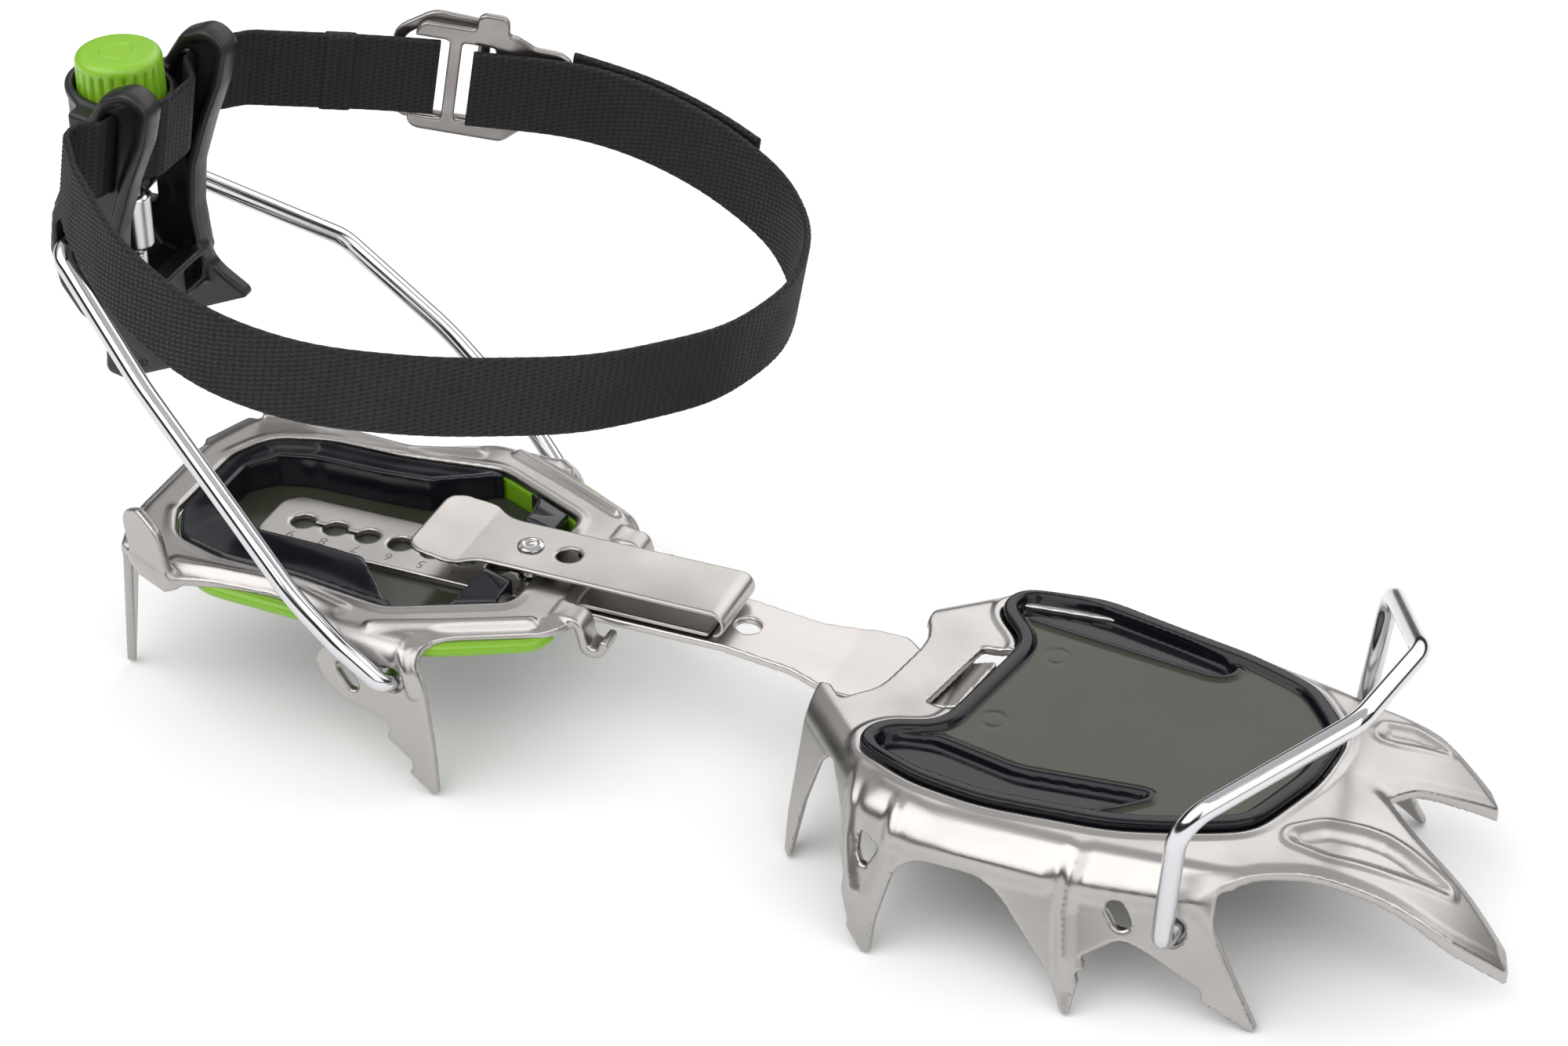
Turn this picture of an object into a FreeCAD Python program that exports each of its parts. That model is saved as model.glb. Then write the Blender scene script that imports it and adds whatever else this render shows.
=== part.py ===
"""A hybrid crampon: toe section, centre bar, sliding heel section, bails, heel lever and ankle strap.

Units are millimetres. X runs forward along the centre bar, Y to the left, Z up. The model is drawn with its
points on Z = 0 and the bar on the line Y = 0, and then moved so that it is centred over its bounding box.
The toe section sweeps to the right of the bar's line, as the sole of a right boot does.
"""

import FreeCAD, Part
import math
import os

Vector = FreeCAD.Vector
Rotation = FreeCAD.Rotation
UP = Vector(0, 0, 1)
ACROSS = Vector(0, 1, 0)

os.makedirs("parts", exist_ok=True)
doc = FreeCAD.newDocument("Crampon")

# ---------------------------------------------------------------- driving dimensions

SIZES = {
    "steel": 2.2,  # thickness of the stamped plates
    "heel_deck": 40.0,  # top of the heel plate above the points
    "toe_deck": 35.0,  # top of the toe plate above the points
    "claw_drop": 34.0,  # height of the flanges' upper edge on the toe plate
    "bar_wide": 20.0,
    "bar_thick": 2.0,
    "bar_top": 35.0,
    "hole_pitch": 8.65,  # between the size holes along the bar
    "hole_radius": 2.95,
    "lock_x": -64.4,  # the size hole that the lock pin stands over
    "rivet_x": -9.6,
    "wire": 4.6,  # diameter of both bails
    "wire_hole": 3.2,  # radius of the bail holes in the flanges
    "leaf": 1.0,  # thickness of the lock spring
    "leaf_wide": 19.0,
    "arm_under": 41.8,  # underside of the lock spring's upper arm
    "curl_x": -15.0,  # centre of the lock spring's curl
    "base_under": 35.9,  # underside of the lock spring's lower arm
    "rivet_radius": 1.5,
    "pin_radius": 2.7,
    "pin_tip": 35.3,  # just clear of the bar, so that the heel section slides
    "heel_pivot_x": -78.7,
    "heel_pivot_z": 30.5,
    "heel_bail_reach": 120.7,  # from the pivots to the cross wire
    "heel_bail_rise": 43.0,  # slope of the heel bail, degrees
    "toe_pivot_x": 108.0,
    "toe_pivot_y": -57.0,
    "toe_pivot_z": 21.0,
    "toe_yaw": -11.7,  # the toe bail's axis is square to the toe section, degrees
    "lever_y": -3.0,  # the bail leans, so the lever stands beside the bar's line
    "wing_y": 15.5,  # inner faces of the lever's side wings from its middle
    "wing_thick": 4.0,
    "screw_x": 6.0,  # the adjusting screw ahead of the cross wire
    "screw_radius": 2.0,
    "running_gap": 0.05,
    "barrel_radius": 4.0,
    "knob_radius": 10.2,
    "knob_top": 39.5,  # above the cross wire
    "knob_foot": 24.0,
    "webbing": 20.0,
    "web_thick": 1.7,
    "strap_x": -150.0,  # start of the ankle loop's plane
    "strap_z": 138.0,
    "strap_droop": 10.0,  # the loop droops forward, degrees
    "buckle_thick": 1.8,
    "guard_gap": 0.3,
}

sheet = doc.addObject("Spreadsheet::Sheet", "Sizes")
for row, (alias, value) in enumerate(SIZES.items(), start=1):
    sheet.set(f"A{row}", str(value))
    sheet.setAlias(f"A{row}", alias)
doc.recompute()


def size(alias):
    """The value of one spreadsheet cell."""
    return float(sheet.get(alias))


STEEL = size("steel")
HEEL_DECK = size("heel_deck")
TOE_DECK = size("toe_deck")
WIRE_RADIUS = size("wire") / 2
DEEP = 200.0  # longer than any cut needs

# ---------------------------------------------------------------- outlines


def corner(before, at, after, radius):
    """Start, middle and end of the arc that rounds one corner."""
    back = (before - at).normalize()
    ahead = (after - at).normalize()
    half = back.getAngle(ahead) / 2
    reach = radius / math.tan(half)
    towards = (back + ahead).normalize()
    middle = at + towards * (radius / math.sin(half) - radius)
    return at + back * reach, middle, at + ahead * reach


def outline(points):
    """Closed edges through points (x, y) or, with a rounded corner, (x, y, radius)."""
    places = [Vector(p[0], p[1], 0) for p in points]
    spans, arcs = [], []
    for i, at in enumerate(places):
        radius = points[i][2] if len(points[i]) > 2 else 0
        if radius:
            start, middle, end = corner(places[i - 1], at, places[(i + 1) % len(places)], radius)
            arcs.append(Part.Arc(start, middle, end))
            spans.append((start, end))
        else:
            spans.append((at, at))
    lines = []
    for i, here in enumerate(spans):
        following = (i + 1) % len(spans)
        run = spans[following][0] - here[1]
        if run.dot(places[following] - places[i]) < -1e-6:
            raise ValueError(f"corner radii meet between {points[i]} and {points[following]}")
        if run.Length > 1e-6:
            lines.append(Part.LineSegment(here[1], spans[following][0]))
    return lines + arcs


def circle(x, y, radius):
    return [Part.Circle(Vector(x, y, 0), UP, radius)]


def rectangle(x0, x1, y0, y1, radius=0):
    return outline([(x0, y0, radius), (x1, y0, radius), (x1, y1, radius), (x0, y1, radius)])


def both_sides(half):
    """A closed symmetrical outline from its left half, drawn from the rear to the front."""
    right = [(p[0], -p[1], *p[2:]) for p in reversed(half)]
    return half + right


def inward(points, distance):
    """The outline with every side moved inward and its rounded corners kept parallel."""
    following = points[1:] + points[:1]
    turn = sum(a[0] * b[1] - b[0] * a[1] for a, b in zip(points, following))
    side = math.copysign(1, turn)
    moved = []
    for i, at in enumerate(points):
        before, after = points[i - 1], following[i]
        first = Vector(at[0] - before[0], at[1] - before[1], 0).normalize()
        second = Vector(after[0] - at[0], after[1] - at[1], 0).normalize()
        along = (first + second).normalize()
        shift = distance * side / along.dot(first)
        outer = math.copysign(distance, side * first.cross(second).z)
        radius = max(at[2] - outer, 0.4) if len(at) > 2 else 0
        moved.append((at[0] - along.y * shift, at[1] + along.x * shift, radius))
    return moved


def band(path, thickness):
    """The outline of a strip that follows an open path of (x, y, corner radius) points."""
    left, right = [], []
    for i, at in enumerate(path):
        before, after = path[max(i - 1, 0)], path[min(i + 1, len(path) - 1)]
        first = Vector(at[0] - before[0], at[1] - before[1], 0)
        second = Vector(after[0] - at[0], after[1] - at[1], 0)
        first = (first if i else second).normalize()
        second = (second if i < len(path) - 1 else first).normalize()
        along = (first + second).normalize()
        reach = thickness / 2 / along.dot(first)
        bend = math.copysign(thickness / 2, first.cross(second).z) if at[2] else 0
        left.append((at[0] - along.y * reach, at[1] + along.x * reach, at[2] - bend))
        right.append((at[0] + along.y * reach, at[1] - along.x * reach, at[2] + bend))
    return left + right[::-1]


# ---------------------------------------------------------------- features


def new_body(label):
    body = doc.addObject("PartDesign::Body", label)
    body.Label = label
    return body


def sketch(body, name, loops, plane="XY_Plane", level="0"):
    """Closed loops on one of the body's own planes, level above it."""
    drawn = body.newObject("Sketcher::SketchObject", name)
    origin = next(f for f in body.Origin.OriginFeatures if f.Role == plane)
    drawn.AttachmentSupport = [(origin, "")]
    drawn.MapMode = "FlatFace"
    drawn.setExpression("AttachmentOffset.Base.z", level)
    for loop in loops:
        drawn.addGeometry(loop, False)
    return drawn


def feature(body, kind, name, profile, length, reverse=False, midplane=False):
    """A Pad or Pocket with its length bound to the sheet."""
    made = body.newObject(f"PartDesign::{kind}", name)
    made.Profile = profile
    made.Reversed = reverse
    made.Midplane = midplane
    made.setExpression("Length", length)
    body.Tip = made
    return made


def pad(label, loops, thickness, level="0", plane="XY_Plane", midplane=False):
    """A body that is one padded sketch, from level upward or about it."""
    body = new_body(label)
    drawn = sketch(body, f"{label}_outline", loops, plane, level)
    feature(body, "Pad", f"{label}_pad", drawn, thickness, midplane=midplane)
    return body


def pocket(body, name, loops, depth, level, plane="XY_Plane", reverse=False):
    """Cuts the loops out of the body, downward from level unless reversed."""
    drawn = sketch(body, f"{name}_outline", loops, plane, level)
    feature(body, "Pocket", name, drawn, depth, reverse)


def skirt(label, upper, lower, thickness, level):
    """A flared wall between an upper line at a level and a lower line on the ground."""
    body = new_body(label)
    top = sketch(body, f"{label}_top", [outline(wall(upper, thickness))], level=level)
    foot = sketch(body, f"{label}_foot", [outline(wall(lower, thickness))])
    loft = body.newObject("PartDesign::AdditiveLoft", f"{label}_loft")
    loft.Profile = top
    loft.Sections = [foot]
    loft.Ruled = True
    body.Tip = loft
    return body


def wall(line, thickness):
    """A strip with one face on the line and its thickness to the left of the line's direction."""
    middle = [(x, y, 0) for x, y in line]
    closed = band(middle, 2 * thickness)
    return [(p[0], p[1]) for p in closed[: len(line)]] + [(x, y) for x, y, _ in middle[::-1]]


def join(label, pieces):
    whole = doc.addObject("Part::MultiFuse", label)
    whole.Shapes = pieces
    whole.Label = label
    return whole


def common(label, base, tool):
    shared = doc.addObject("Part::Common", label)
    shared.Base = base
    shared.Tool = tool
    shared.Label = label
    return shared


def cut(label, base, tool):
    left = doc.addObject("Part::Cut", label)
    left.Base = base
    left.Tool = tool
    left.Label = label
    return left


def cylinder(label, radius, height, place, along=UP):
    """A Part cylinder whose sizes are sheet expressions, from a place along a direction."""
    made = doc.addObject("Part::Cylinder", label)
    made.setExpression("Radius", radius)
    made.setExpression("Height", height)
    made.Placement = FreeCAD.Placement(place, Rotation(UP, along))
    return made


def block(label, x, y, z):
    """A Part box between pairs of coordinates."""
    made = doc.addObject("Part::Box", label)
    made.Length = x[1] - x[0]
    made.Width = y[1] - y[0]
    made.Height = z[1] - z[0]
    made.Placement.Base = Vector(x[0], y[0], z[0])
    return made


def rod(points, radii):
    """A round wire along straight runs joined by tangent arcs."""
    places = [Vector(*p) for p in points]
    edges, last = [], places[0]
    for i in range(1, len(places) - 1):
        start, middle, end = corner(places[i - 1], places[i], places[i + 1], radii[i - 1])
        edges.append(Part.LineSegment(last, start).toShape())
        edges.append(Part.Arc(start, middle, end).toShape())
        last = end
    edges.append(Part.LineSegment(last, places[-1]).toShape())
    along = (places[1] - places[0]).normalize()
    ring = Part.Wire([Part.Circle(places[0], along, WIRE_RADIUS).toShape()])
    return Part.Wire(edges).makePipeShell([ring], True, False)


NODES = {}


def node(label, made):
    """Registers a finished piece under the name of its file."""
    made.Label = label
    NODES[label] = made
    return made


# ---------------------------------------------------------------- toe section

TOE_RIM = [
    (31, 11, 2.5), (27.5, 18, 3), (27.5, 27.5, 5), (40, 38, 8), (56, 41.3, 20), (72, 41, 20), (97, 36.6),
    (122, 31.5, 4), (131, 26.5, 5), (133, 20), (144, 8),
    (141, -6), (128, -20), (123, -42, 4), (117.5, -49, 3),
    (84, -52), (60, -53, 25), (50, -52, 15), (36, -46.5, 12),
    (17.5, -28, 6), (20.5, -17, 3), (27, -12, 2.5),
]
TOE_WINDOW = [
    (51.5, 16, 3), (41.5, 26.5, 4), (43, 36, 5), (64.5, 39, 12), (84, 34.3), (102, 30.4, 15), (119, 24, 9),
    (130, 9.5, 8), (128, -9, 15), (119.5, -30.5, 8), (106, -36.5, 15), (91.5, -41.5, 30), (62, -44, 30),
    (46, -41.6, 12), (28, -33.8, 4), (32, -23.8, 5), (44.5, -20, 3),
]
NEAR_TOP = [(17.8, -26.5), (37.5, -47.8), (52, -52.4), (84, -52), (118, -49.2)]
NEAR_FOOT = [(9, -28.5), (33, -58.5), (46, -60.5), (89.7, -63.4), (129, -53.2)]
FAR_TOP = [(130.5, 28.2), (97, 36.6), (70, 41.2), (42, 38.4), (27.8, 26.5)]
FAR_FOOT = [(148, 32.2), (112, 39.8), (66, 49), (41, 50), (24, 32)]
NEAR_POINTS = [
    (14, 38), (12, 8), (12.8, 0), (15, 0), (17.5, 14), (21.5, 27), (25, 31.5), (30.4, 25), (32.3, 21.2),
    (32.1, 18.6), (34.7, 15.3), (34.9, 11.5), (37.2, 6.1), (37.4, 4.1), (41.8, 0), (43.4, 0), (44, 7.8),
    (48, 24.8, 9), (68.5, 24.8, 14), (84.7, 7.7), (89, 0), (90.2, 0), (91.1, 7), (90.3, 9.3), (92, 10.1),
    (90.9, 12.8), (99, 18, 5), (107.2, 14), (116.8, 8.4),
    (116.6, 6.1), (127.8, 0), (129.2, 0), (117.5, 22, 12),
    (117, 38),
]
FAR_POINTS = [
    (29, 38), (24.6, 8), (26, 0), (28, 0), (31, 14),
    (37, 28), (44, 31), (52, 25), (55.1, 17.2), (57.8, 14.5),
    (58.2, 9.5), (64.2, 0), (65.8, 0), (66.3, 8), (70, 24.8, 8), (90, 24.8, 13), (104.2, 8), (109, 0),
    (110.4, 0), (111.2, 7.5), (110, 11.5), (118, 18, 5), (125, 14), (133, 8.4), (133, 6.1), (143.2, 0),
    (144.8, 0), (134, 22, 11), (133.5, 38),
]


def toe_flange(side, top, foot, silhouette, holes):
    """One side's flared wall, cut to its row of points."""
    flared = skirt(f"{side}_skirt", top, foot, STEEL, "Sizes.claw_drop")
    shadow = pad(
        f"{side}_shadow", [outline(silhouette), *holes], str(DEEP), plane="XZ_Plane", midplane=True
    )
    return common(f"{side}_flange", flared, shadow)


# The toe bail's axis, square to the toe section and level with its deck.
TOE_PIVOT = Vector(size("toe_pivot_x"), size("toe_pivot_y"), size("toe_pivot_z"))
TOE_TURN = Rotation(UP, size("toe_yaw")).multiply(Rotation(Vector(1, 0, 0), 1.7))
TOE_SPAN = 93.5  # between the toe bail's legs
near_hole = TOE_PIVOT + TOE_TURN.multVec(ACROSS * 4)
far_hole = TOE_PIVOT + TOE_TURN.multVec(ACROSS * (TOE_SPAN - 4))

NEAR_HOLES = [
    outline([(37.6, 26.6, 1.2), (37.7, 21, 1.2), (39.8, 17.6, 1), (42.8, 24, 1.2)]),
    outline([(94, 24.6, 1.8), (97, 27, 1.8), (100.9, 21.4, 1.8), (98.2, 18.6, 1.8)]),
    circle(near_hole.x, near_hole.z, size("wire_hole")),
]
FAR_HOLES = [
    outline([(55.8, 26, 1.2), (57.2, 20, 1.2), (59.4, 16.6, 1), (61.6, 23, 1.2)]),
    circle(far_hole.x, far_hole.z, size("wire_hole")),
]

# The front points are strips that curve down and forward, cut to their outlines seen from above.
PRIMARY = [
    (118, -44), (134, -38.7), (149, -36.3), (165, -34.6), (176.5, -27.8, 2), (174.5, -22.4), (165, -17.3),
    (151.5, -12), (141, -3.5), (118, -3.5),
]
SECONDARY = [
    (118, -2), (143, -2), (147, 3.5, 3), (154.5, 8.5),
    (163.6, 15.4), (160.6, 19), (147.4, 25.5), (131, 26.8),
    (118, 26.8),
]
PRIMARY_FALL = [(117, 35), (129, 34.9), (141, 33.2), (152, 29.5), (163, 23.4), (172, 16), (178, 9.5)]
SECONDARY_FALL = [(117, 35), (129, 34.9), (138, 33.4), (147, 30.6), (156, 26), (166, 20)]


def front_point(name, plan, fall):
    top = fall + [(x, z - STEEL) for x, z in reversed(fall)]
    strip = pad(f"{name}_strip", [outline(top)], str(DEEP), plane="XZ_Plane", midplane=True)
    shadow = pad(f"{name}_plan", [outline(plan)], "Sizes.toe_deck")
    return common(f"{name}_point", strip, shadow)


# The bar's slot opens forward into the guard's window.
SLOT = [(38.6, -12.5, 1), (43.4, 12, 1), (53, 13.4, 1), (47, -14.2, 1)]
toe_blank = join("toe_blank", [
    pad("toe_deck", [outline(TOE_RIM)], "Sizes.steel", "Sizes.toe_deck - Sizes.steel"),
    toe_flange("near", NEAR_TOP, NEAR_FOOT, NEAR_POINTS, NEAR_HOLES),
    toe_flange("far", FAR_TOP, FAR_FOOT, FAR_POINTS, FAR_HOLES),
    front_point("primary", PRIMARY, PRIMARY_FALL),
    front_point("secondary", SECONDARY, SECONDARY_FALL),
])
toe_openings = join("toe_openings", [
    pad("toe_window", [outline(TOE_WINDOW)], "3 * Sizes.steel", "Sizes.toe_deck - 2 * Sizes.steel"),
    pad("toe_slot", [outline(SLOT)], "3 * Sizes.steel", "Sizes.toe_deck - 2 * Sizes.steel"),
])
node("toe_plate", cut("toe_plate", toe_blank, toe_openings))

# The lime base is a shallow tray under the plate; the smoky cover fills the window above it.
TOE_BASE = [
    (53, 14, 3), (38.5, 27.5, 5), (42, 35.5, 5), (64, 36.5, 12), (97, 31.5), (121, 25, 9), (129.5, 9.5, 8),
    (127, -9, 15), (118, -32, 10), (106, -38, 15), (90, -43, 30), (62, -45.5, 30), (46, -43, 12),
    (27, -33.8, 4), (31, -23, 5), (50.5, -17, 3),
]
guard = pad("toe_base_tray", [outline(TOE_BASE)], "5", "Sizes.toe_deck - Sizes.steel - 5 - Sizes.guard_gap")
pocket(guard, "toe_base_hollow", [outline(inward(TOE_BASE, 4))], "3.4",
       "Sizes.toe_deck - Sizes.steel - Sizes.guard_gap")
node("toe_guard_base", guard)

COVER = inward(TOE_WINDOW, size("guard_gap"))
COVER_FOOT = "Sizes.toe_deck - Sizes.steel - Sizes.guard_gap + 0.1"
cover = pad("toe_cover_rim", [outline(COVER)], "4.8", COVER_FOOT)
pocket(cover, "toe_cover_recess", [outline(inward(TOE_WINDOW, 3.2))], "1.6", "Sizes.toe_deck + 2.4")
NEAR_WELL = [
    (36.5, -31.5, 2), (37, -28, 1.5), (44, -26.5), (66, -30.5), (93, -29.5), (83, -35.5), (62, -38, 20),
]
FAR_WELL = [(47.5, 27, 2), (48, 33, 2), (60, 35.5), (84, 30.5), (101, 25.5, 2), (97, 20.5, 2), (66, 24.5)]
pocket(cover, "toe_cover_wells", [outline(NEAR_WELL), outline(FAR_WELL)], "2", "Sizes.toe_deck + 0.8")
node("toe_guard_cover", cover)

# ---------------------------------------------------------------- toe bail

BAIL_HOOK = 6.5  # the wire's ends pass inward through the flanges
TOE_BAIL = [
    (0, BAIL_HOOK, 0), (0, 0, 0), (4.8, -4.2, 37), (27.3, 29.9, 50.8), (27.3, 58.7, 50.8),
    (4.8, 92.8, 37), (0, TOE_SPAN, 0), (0, TOE_SPAN - BAIL_HOOK, 0),
]
toe_bail = doc.addObject("Part::Feature", "toe_bail")
toe_bail.Shape = rod(TOE_BAIL, [3.6, 7, 7, 7, 7, 3.6])
toe_bail.Placement = FreeCAD.Placement(TOE_PIVOT, TOE_TURN)
node("toe_bail", toe_bail)

# ---------------------------------------------------------------- centre bar

BAR_PLAN = [
    (-134, 6.5, 4), (-130.5, 10, 3), (5, 10, 12), (17, 13.6, 4),
    (25, 13.6, 4), (30, 9.2, 3), (48.4, 9.2, 1.5),
    (44.8, -9.2, 1.5), (30, -9.2, 3), (25, -13.6, 4), (17, -13.6, 4), (5, -10, 12), (-130.5, -10, 3),
    (-134, -6.5, 4),
]
BAR_SIDE = [(-135, 35), (-12, 35), (14, 31.9), (41.5, 31.9), (49, 34.4)]
HOLES_IN_A_GROUP = 3
HOLE_COUNT = 9

bar_strip = pad(
    "bar_strip", [outline(BAR_SIDE + [(x, z - size("bar_thick")) for x, z in reversed(BAR_SIDE)])],
    "2 * Sizes.bar_wide", plane="XZ_Plane", midplane=True,
)
bar_plan = pad("bar_plan", [outline(BAR_PLAN)], "Sizes.toe_deck + 5")
bar_holes = [circle(size("rivet_x"), 0, 3)]
for k in range(HOLE_COUNT):
    hole_x = size("lock_x") + size("hole_pitch") * (1 - k)
    bar_holes.append(circle(hole_x, 0, size("hole_radius")))
bar_blank = common("bar_blank", bar_strip, bar_plan)
hole_tools = pad("bar_hole_tools", bar_holes, "Sizes.toe_deck + 5")
link_tools = []
for group in range(HOLE_COUNT // HOLES_IN_A_GROUP):
    front = size("lock_x") + size("hole_pitch") * (1 - group * HOLES_IN_A_GROUP)
    rear = front - 2 * size("hole_pitch")
    link_tools.append(block(f"bar_link_{group}", (rear, front), (-0.6, 0.6), (30, 40)))
node("centre_bar", cut("centre_bar", bar_blank, join("bar_tools", [hole_tools, *link_tools])))

# ---------------------------------------------------------------- heel section

HEEL_RIM = both_sides([
    (-161.2, 15.5, 5), (-155.2, 31.8, 4), (-138.5, 39.5, 6), (-131, 36, 10), (-112, 34.6, 12),
    (-98.5, 41, 10), (-92.5, 45), (-74.3, 45, 4), (-71.5, 37, 8),
    (-50, 26.5, 5), (-45, 20.2, 4), (-45, 13.2),
    (-47.5, 12, 1),
])
HEEL_WINDOW = both_sides([
    (-151.5, 12.5, 5), (-146, 23.5, 8), (-132, 27.8, 12), (-112, 28, 12), (-87, 31.5, 5), (-69, 23, 4),
    (-60.5, 19, 1.5),
])
HEEL_POINT = [
    (-93, 41), (-98.2, 31), (-96.6, 26.8), (-92.5, 22, 3), (-80.6, 18.1), (-80.3, 15.5), (-80.9, 13.5),
    (-75, 8.5), (-74.8, 6.6), (-75.6, 4.8), (-69.8, 0),
    (-68.6, 0.8), (-69.1, 13), (-71, 31, 10), (-74.3, 39, 5),
    (-74.3, 41),
]
HEEL_SLOT = outline([(-93.6, 31, 1.4), (-90.4, 32.6, 1.4), (-86.8, 26, 1.4), (-89, 24, 1.2)])
EAR = [(-5, 34), (-9.2, 50, 5), (-2, 53, 3), (5, 50, 5), (9.5, 36), (6.5, 34)]
HOOK = [(-48, 40), (-42.8, 40, 3.5), (-40.6, 31), (-42.8, 31), (-44.6, 37.8, 1.5), (-48, 37.8)]
REAR_POINT = [(-6.8, 39), (-4.2, 20), (-2.2, 0), (-0.6, 0), (2.8, 18), (6.6, 39)]

heel_parts = [pad("heel_deck_plate", [outline(HEEL_RIM)], "Sizes.steel", "Sizes.heel_deck - Sizes.steel")]
for side, sign in (("near", -1), ("far", 1)):
    plate = pad(
        f"heel_{side}_flange",
        [outline(HEEL_POINT), HEEL_SLOT,
         circle(size("heel_pivot_x"), size("heel_pivot_z"), size("wire_hole"))],
        "Sizes.steel", "45 - Sizes.steel" if sign < 0 else "-45", plane="XZ_Plane",
    )
    ear = pad(f"heel_{side}_ear", [outline(EAR)], "Sizes.steel", plane="XZ_Plane", midplane=True)
    ear.Placement = FreeCAD.Placement(Vector(-146.6, sign * 34.6, 0), Rotation(UP, sign * 24.5))
    point = pad(f"heel_{side}_rear", [outline(REAR_POINT)], "Sizes.steel", plane="XZ_Plane", midplane=True)
    lean = Rotation(Vector(1, 0, 0), sign * 5.5)
    point.Placement = FreeCAD.Placement(
        Vector(-161.2, sign * 25.2, 0.1), Rotation(UP, sign * 69).multiply(lean)
    )
    hook = pad(f"heel_{side}_hook", [outline(HOOK)], "6.5", "-20" if sign > 0 else "13.5", plane="XZ_Plane")
    heel_parts += [plate, ear, point, hook]
heel_blank = join("heel_blank", heel_parts)
RIVETS = [(-53.0, -5.0), (-53.0, 5.0)]
rivet_holes = [circle(x, y, size("rivet_radius")) for x, y in RIVETS]
window = pad("heel_window", [outline(HEEL_WINDOW), *rivet_holes], "Sizes.heel_deck", "20")
node("heel_plate", cut("heel_plate", heel_blank, window))

HEEL_BASE = both_sides([
    (-152.5, 12, 6), (-146, 26, 8), (-132, 36.5, 10), (-112, 37.4, 12), (-98.5, 38, 8), (-92, 41, 3),
    (-76, 41, 3), (-68, 37.8, 6), (-50, 28.5, 5), (-47.2, 22, 3), (-50, 19, 3), (-62, 12, 1),
])
TRAY_FOOT = "Sizes.heel_deck - Sizes.steel - 8 - Sizes.guard_gap"
base = pad("heel_base_tray", [outline(HEEL_BASE)], "8", TRAY_FOOT)
HEEL_INSERT = inward(HEEL_WINDOW, 0.6)
pocket(base, "heel_base_hollow", [outline(inward(HEEL_WINDOW, 0.3))], "7",
       "Sizes.heel_deck - Sizes.steel - Sizes.guard_gap")
pocket(base, "heel_base_channel", [rectangle(-66, -40, -10.8, 10.8)], "5",
       "Sizes.heel_deck - Sizes.steel - Sizes.guard_gap")
node("heel_guard_base", base)

insert = pad("heel_insert_block", [outline(HEEL_INSERT)], "10.2", "31")
INSERT_WELL = both_sides([
    (-148, 11.5, 4), (-142.5, 20, 6), (-131, 23.2, 8), (-112, 23.4, 10),
    (-90, 25, 2), (-86, 30), (-73, 23.5),
    (-70.5, 13.5),
])
pocket(insert, "heel_insert_well", [outline(INSERT_WELL)], "8.6", "41.2")
pocket(insert, "heel_insert_gate", [rectangle(-75, -55, -10.6, 10.6)], "8.6", "41.2")
pocket(insert, "heel_insert_front", [rectangle(-88, -55, -35, 35)], "2", "41.2")
node("heel_guard_insert", insert)

# ---------------------------------------------------------------- lock spring

CURL = (size("arm_under") + size("leaf") + size("base_under")) / 2
CURL_OUT = (size("arm_under") + size("leaf") - size("base_under")) / 2
CURL_IN = CURL_OUT - size("leaf")
LEAF_PLAN = [
    (-91, 6, 4), (-88, 13, 4), (-79, 13.2, 3), (-75, 9.2, 5), (-66, 9.5, 6), (-10, 9.5), (-10, -9.5),
    (-66, -9.5, 6), (-75, -9.2, 5), (-79, -13.2, 3), (-88, -13, 4), (-91, -6, 4),
]


def on_curl(radius, degrees):
    """A place on the curl, seen from the side, by its angle from straight ahead."""
    turn = math.radians(degrees)
    return Vector(size("curl_x") + radius * math.cos(turn), CURL + radius * math.sin(turn), 0)


def curled_leaf(name, tail_x, tail_lift, start, end, upper):
    """A leaf seen from the side: a straight run that ends in part of the curl."""
    sign = 1 if upper else -1
    outer, inner = on_curl(CURL_OUT, start), on_curl(CURL_IN, start)
    outer_end, inner_end = on_curl(CURL_OUT, end), on_curl(CURL_IN, end)
    middle = (start + end) / 2
    tail_out = Vector(tail_x, CURL + sign * CURL_OUT + tail_lift, 0)
    tail_in = Vector(tail_x, CURL + sign * CURL_IN + tail_lift, 0)
    bend_out = Vector(tail_x + 14, CURL + sign * CURL_OUT, 0)
    bend_in = Vector(tail_x + 14, CURL + sign * CURL_IN, 0)
    return [
        Part.LineSegment(tail_out, bend_out), Part.LineSegment(bend_out, outer),
        Part.Arc(outer, on_curl(CURL_OUT, middle), outer_end), Part.LineSegment(outer_end, inner_end),
        Part.Arc(inner_end, on_curl(CURL_IN, middle), inner), Part.LineSegment(inner, bend_in),
        Part.LineSegment(bend_in, tail_in), Part.LineSegment(tail_in, tail_out),
    ]


arm_curl = curled_leaf("arm", -92, 1.6, 90, -68, True)
arm_side = pad("arm_side", [arm_curl], "60", plane="XZ_Plane", midplane=True)
arm_plan = pad("arm_plan", [outline(LEAF_PLAN), circle(size("lock_x"), 0, 1.6), circle(-54.7, 0, 2.9)], "80")
node("lock_spring_arm", common("lock_spring_arm", arm_side, arm_plan))

lower_side = pad("lower_side", [curled_leaf("lower", -58.5, 0, -90, -84, False)], "2 * Sizes.leaf_wide",
                 plane="XZ_Plane", midplane=True)
lower_plan = pad("lower_plan", [rectangle(-58.5, -10, -9.5, 9.5), *rivet_holes], "80")
node("lock_spring_base", common("lock_spring_base", lower_side, lower_plan))

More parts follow.
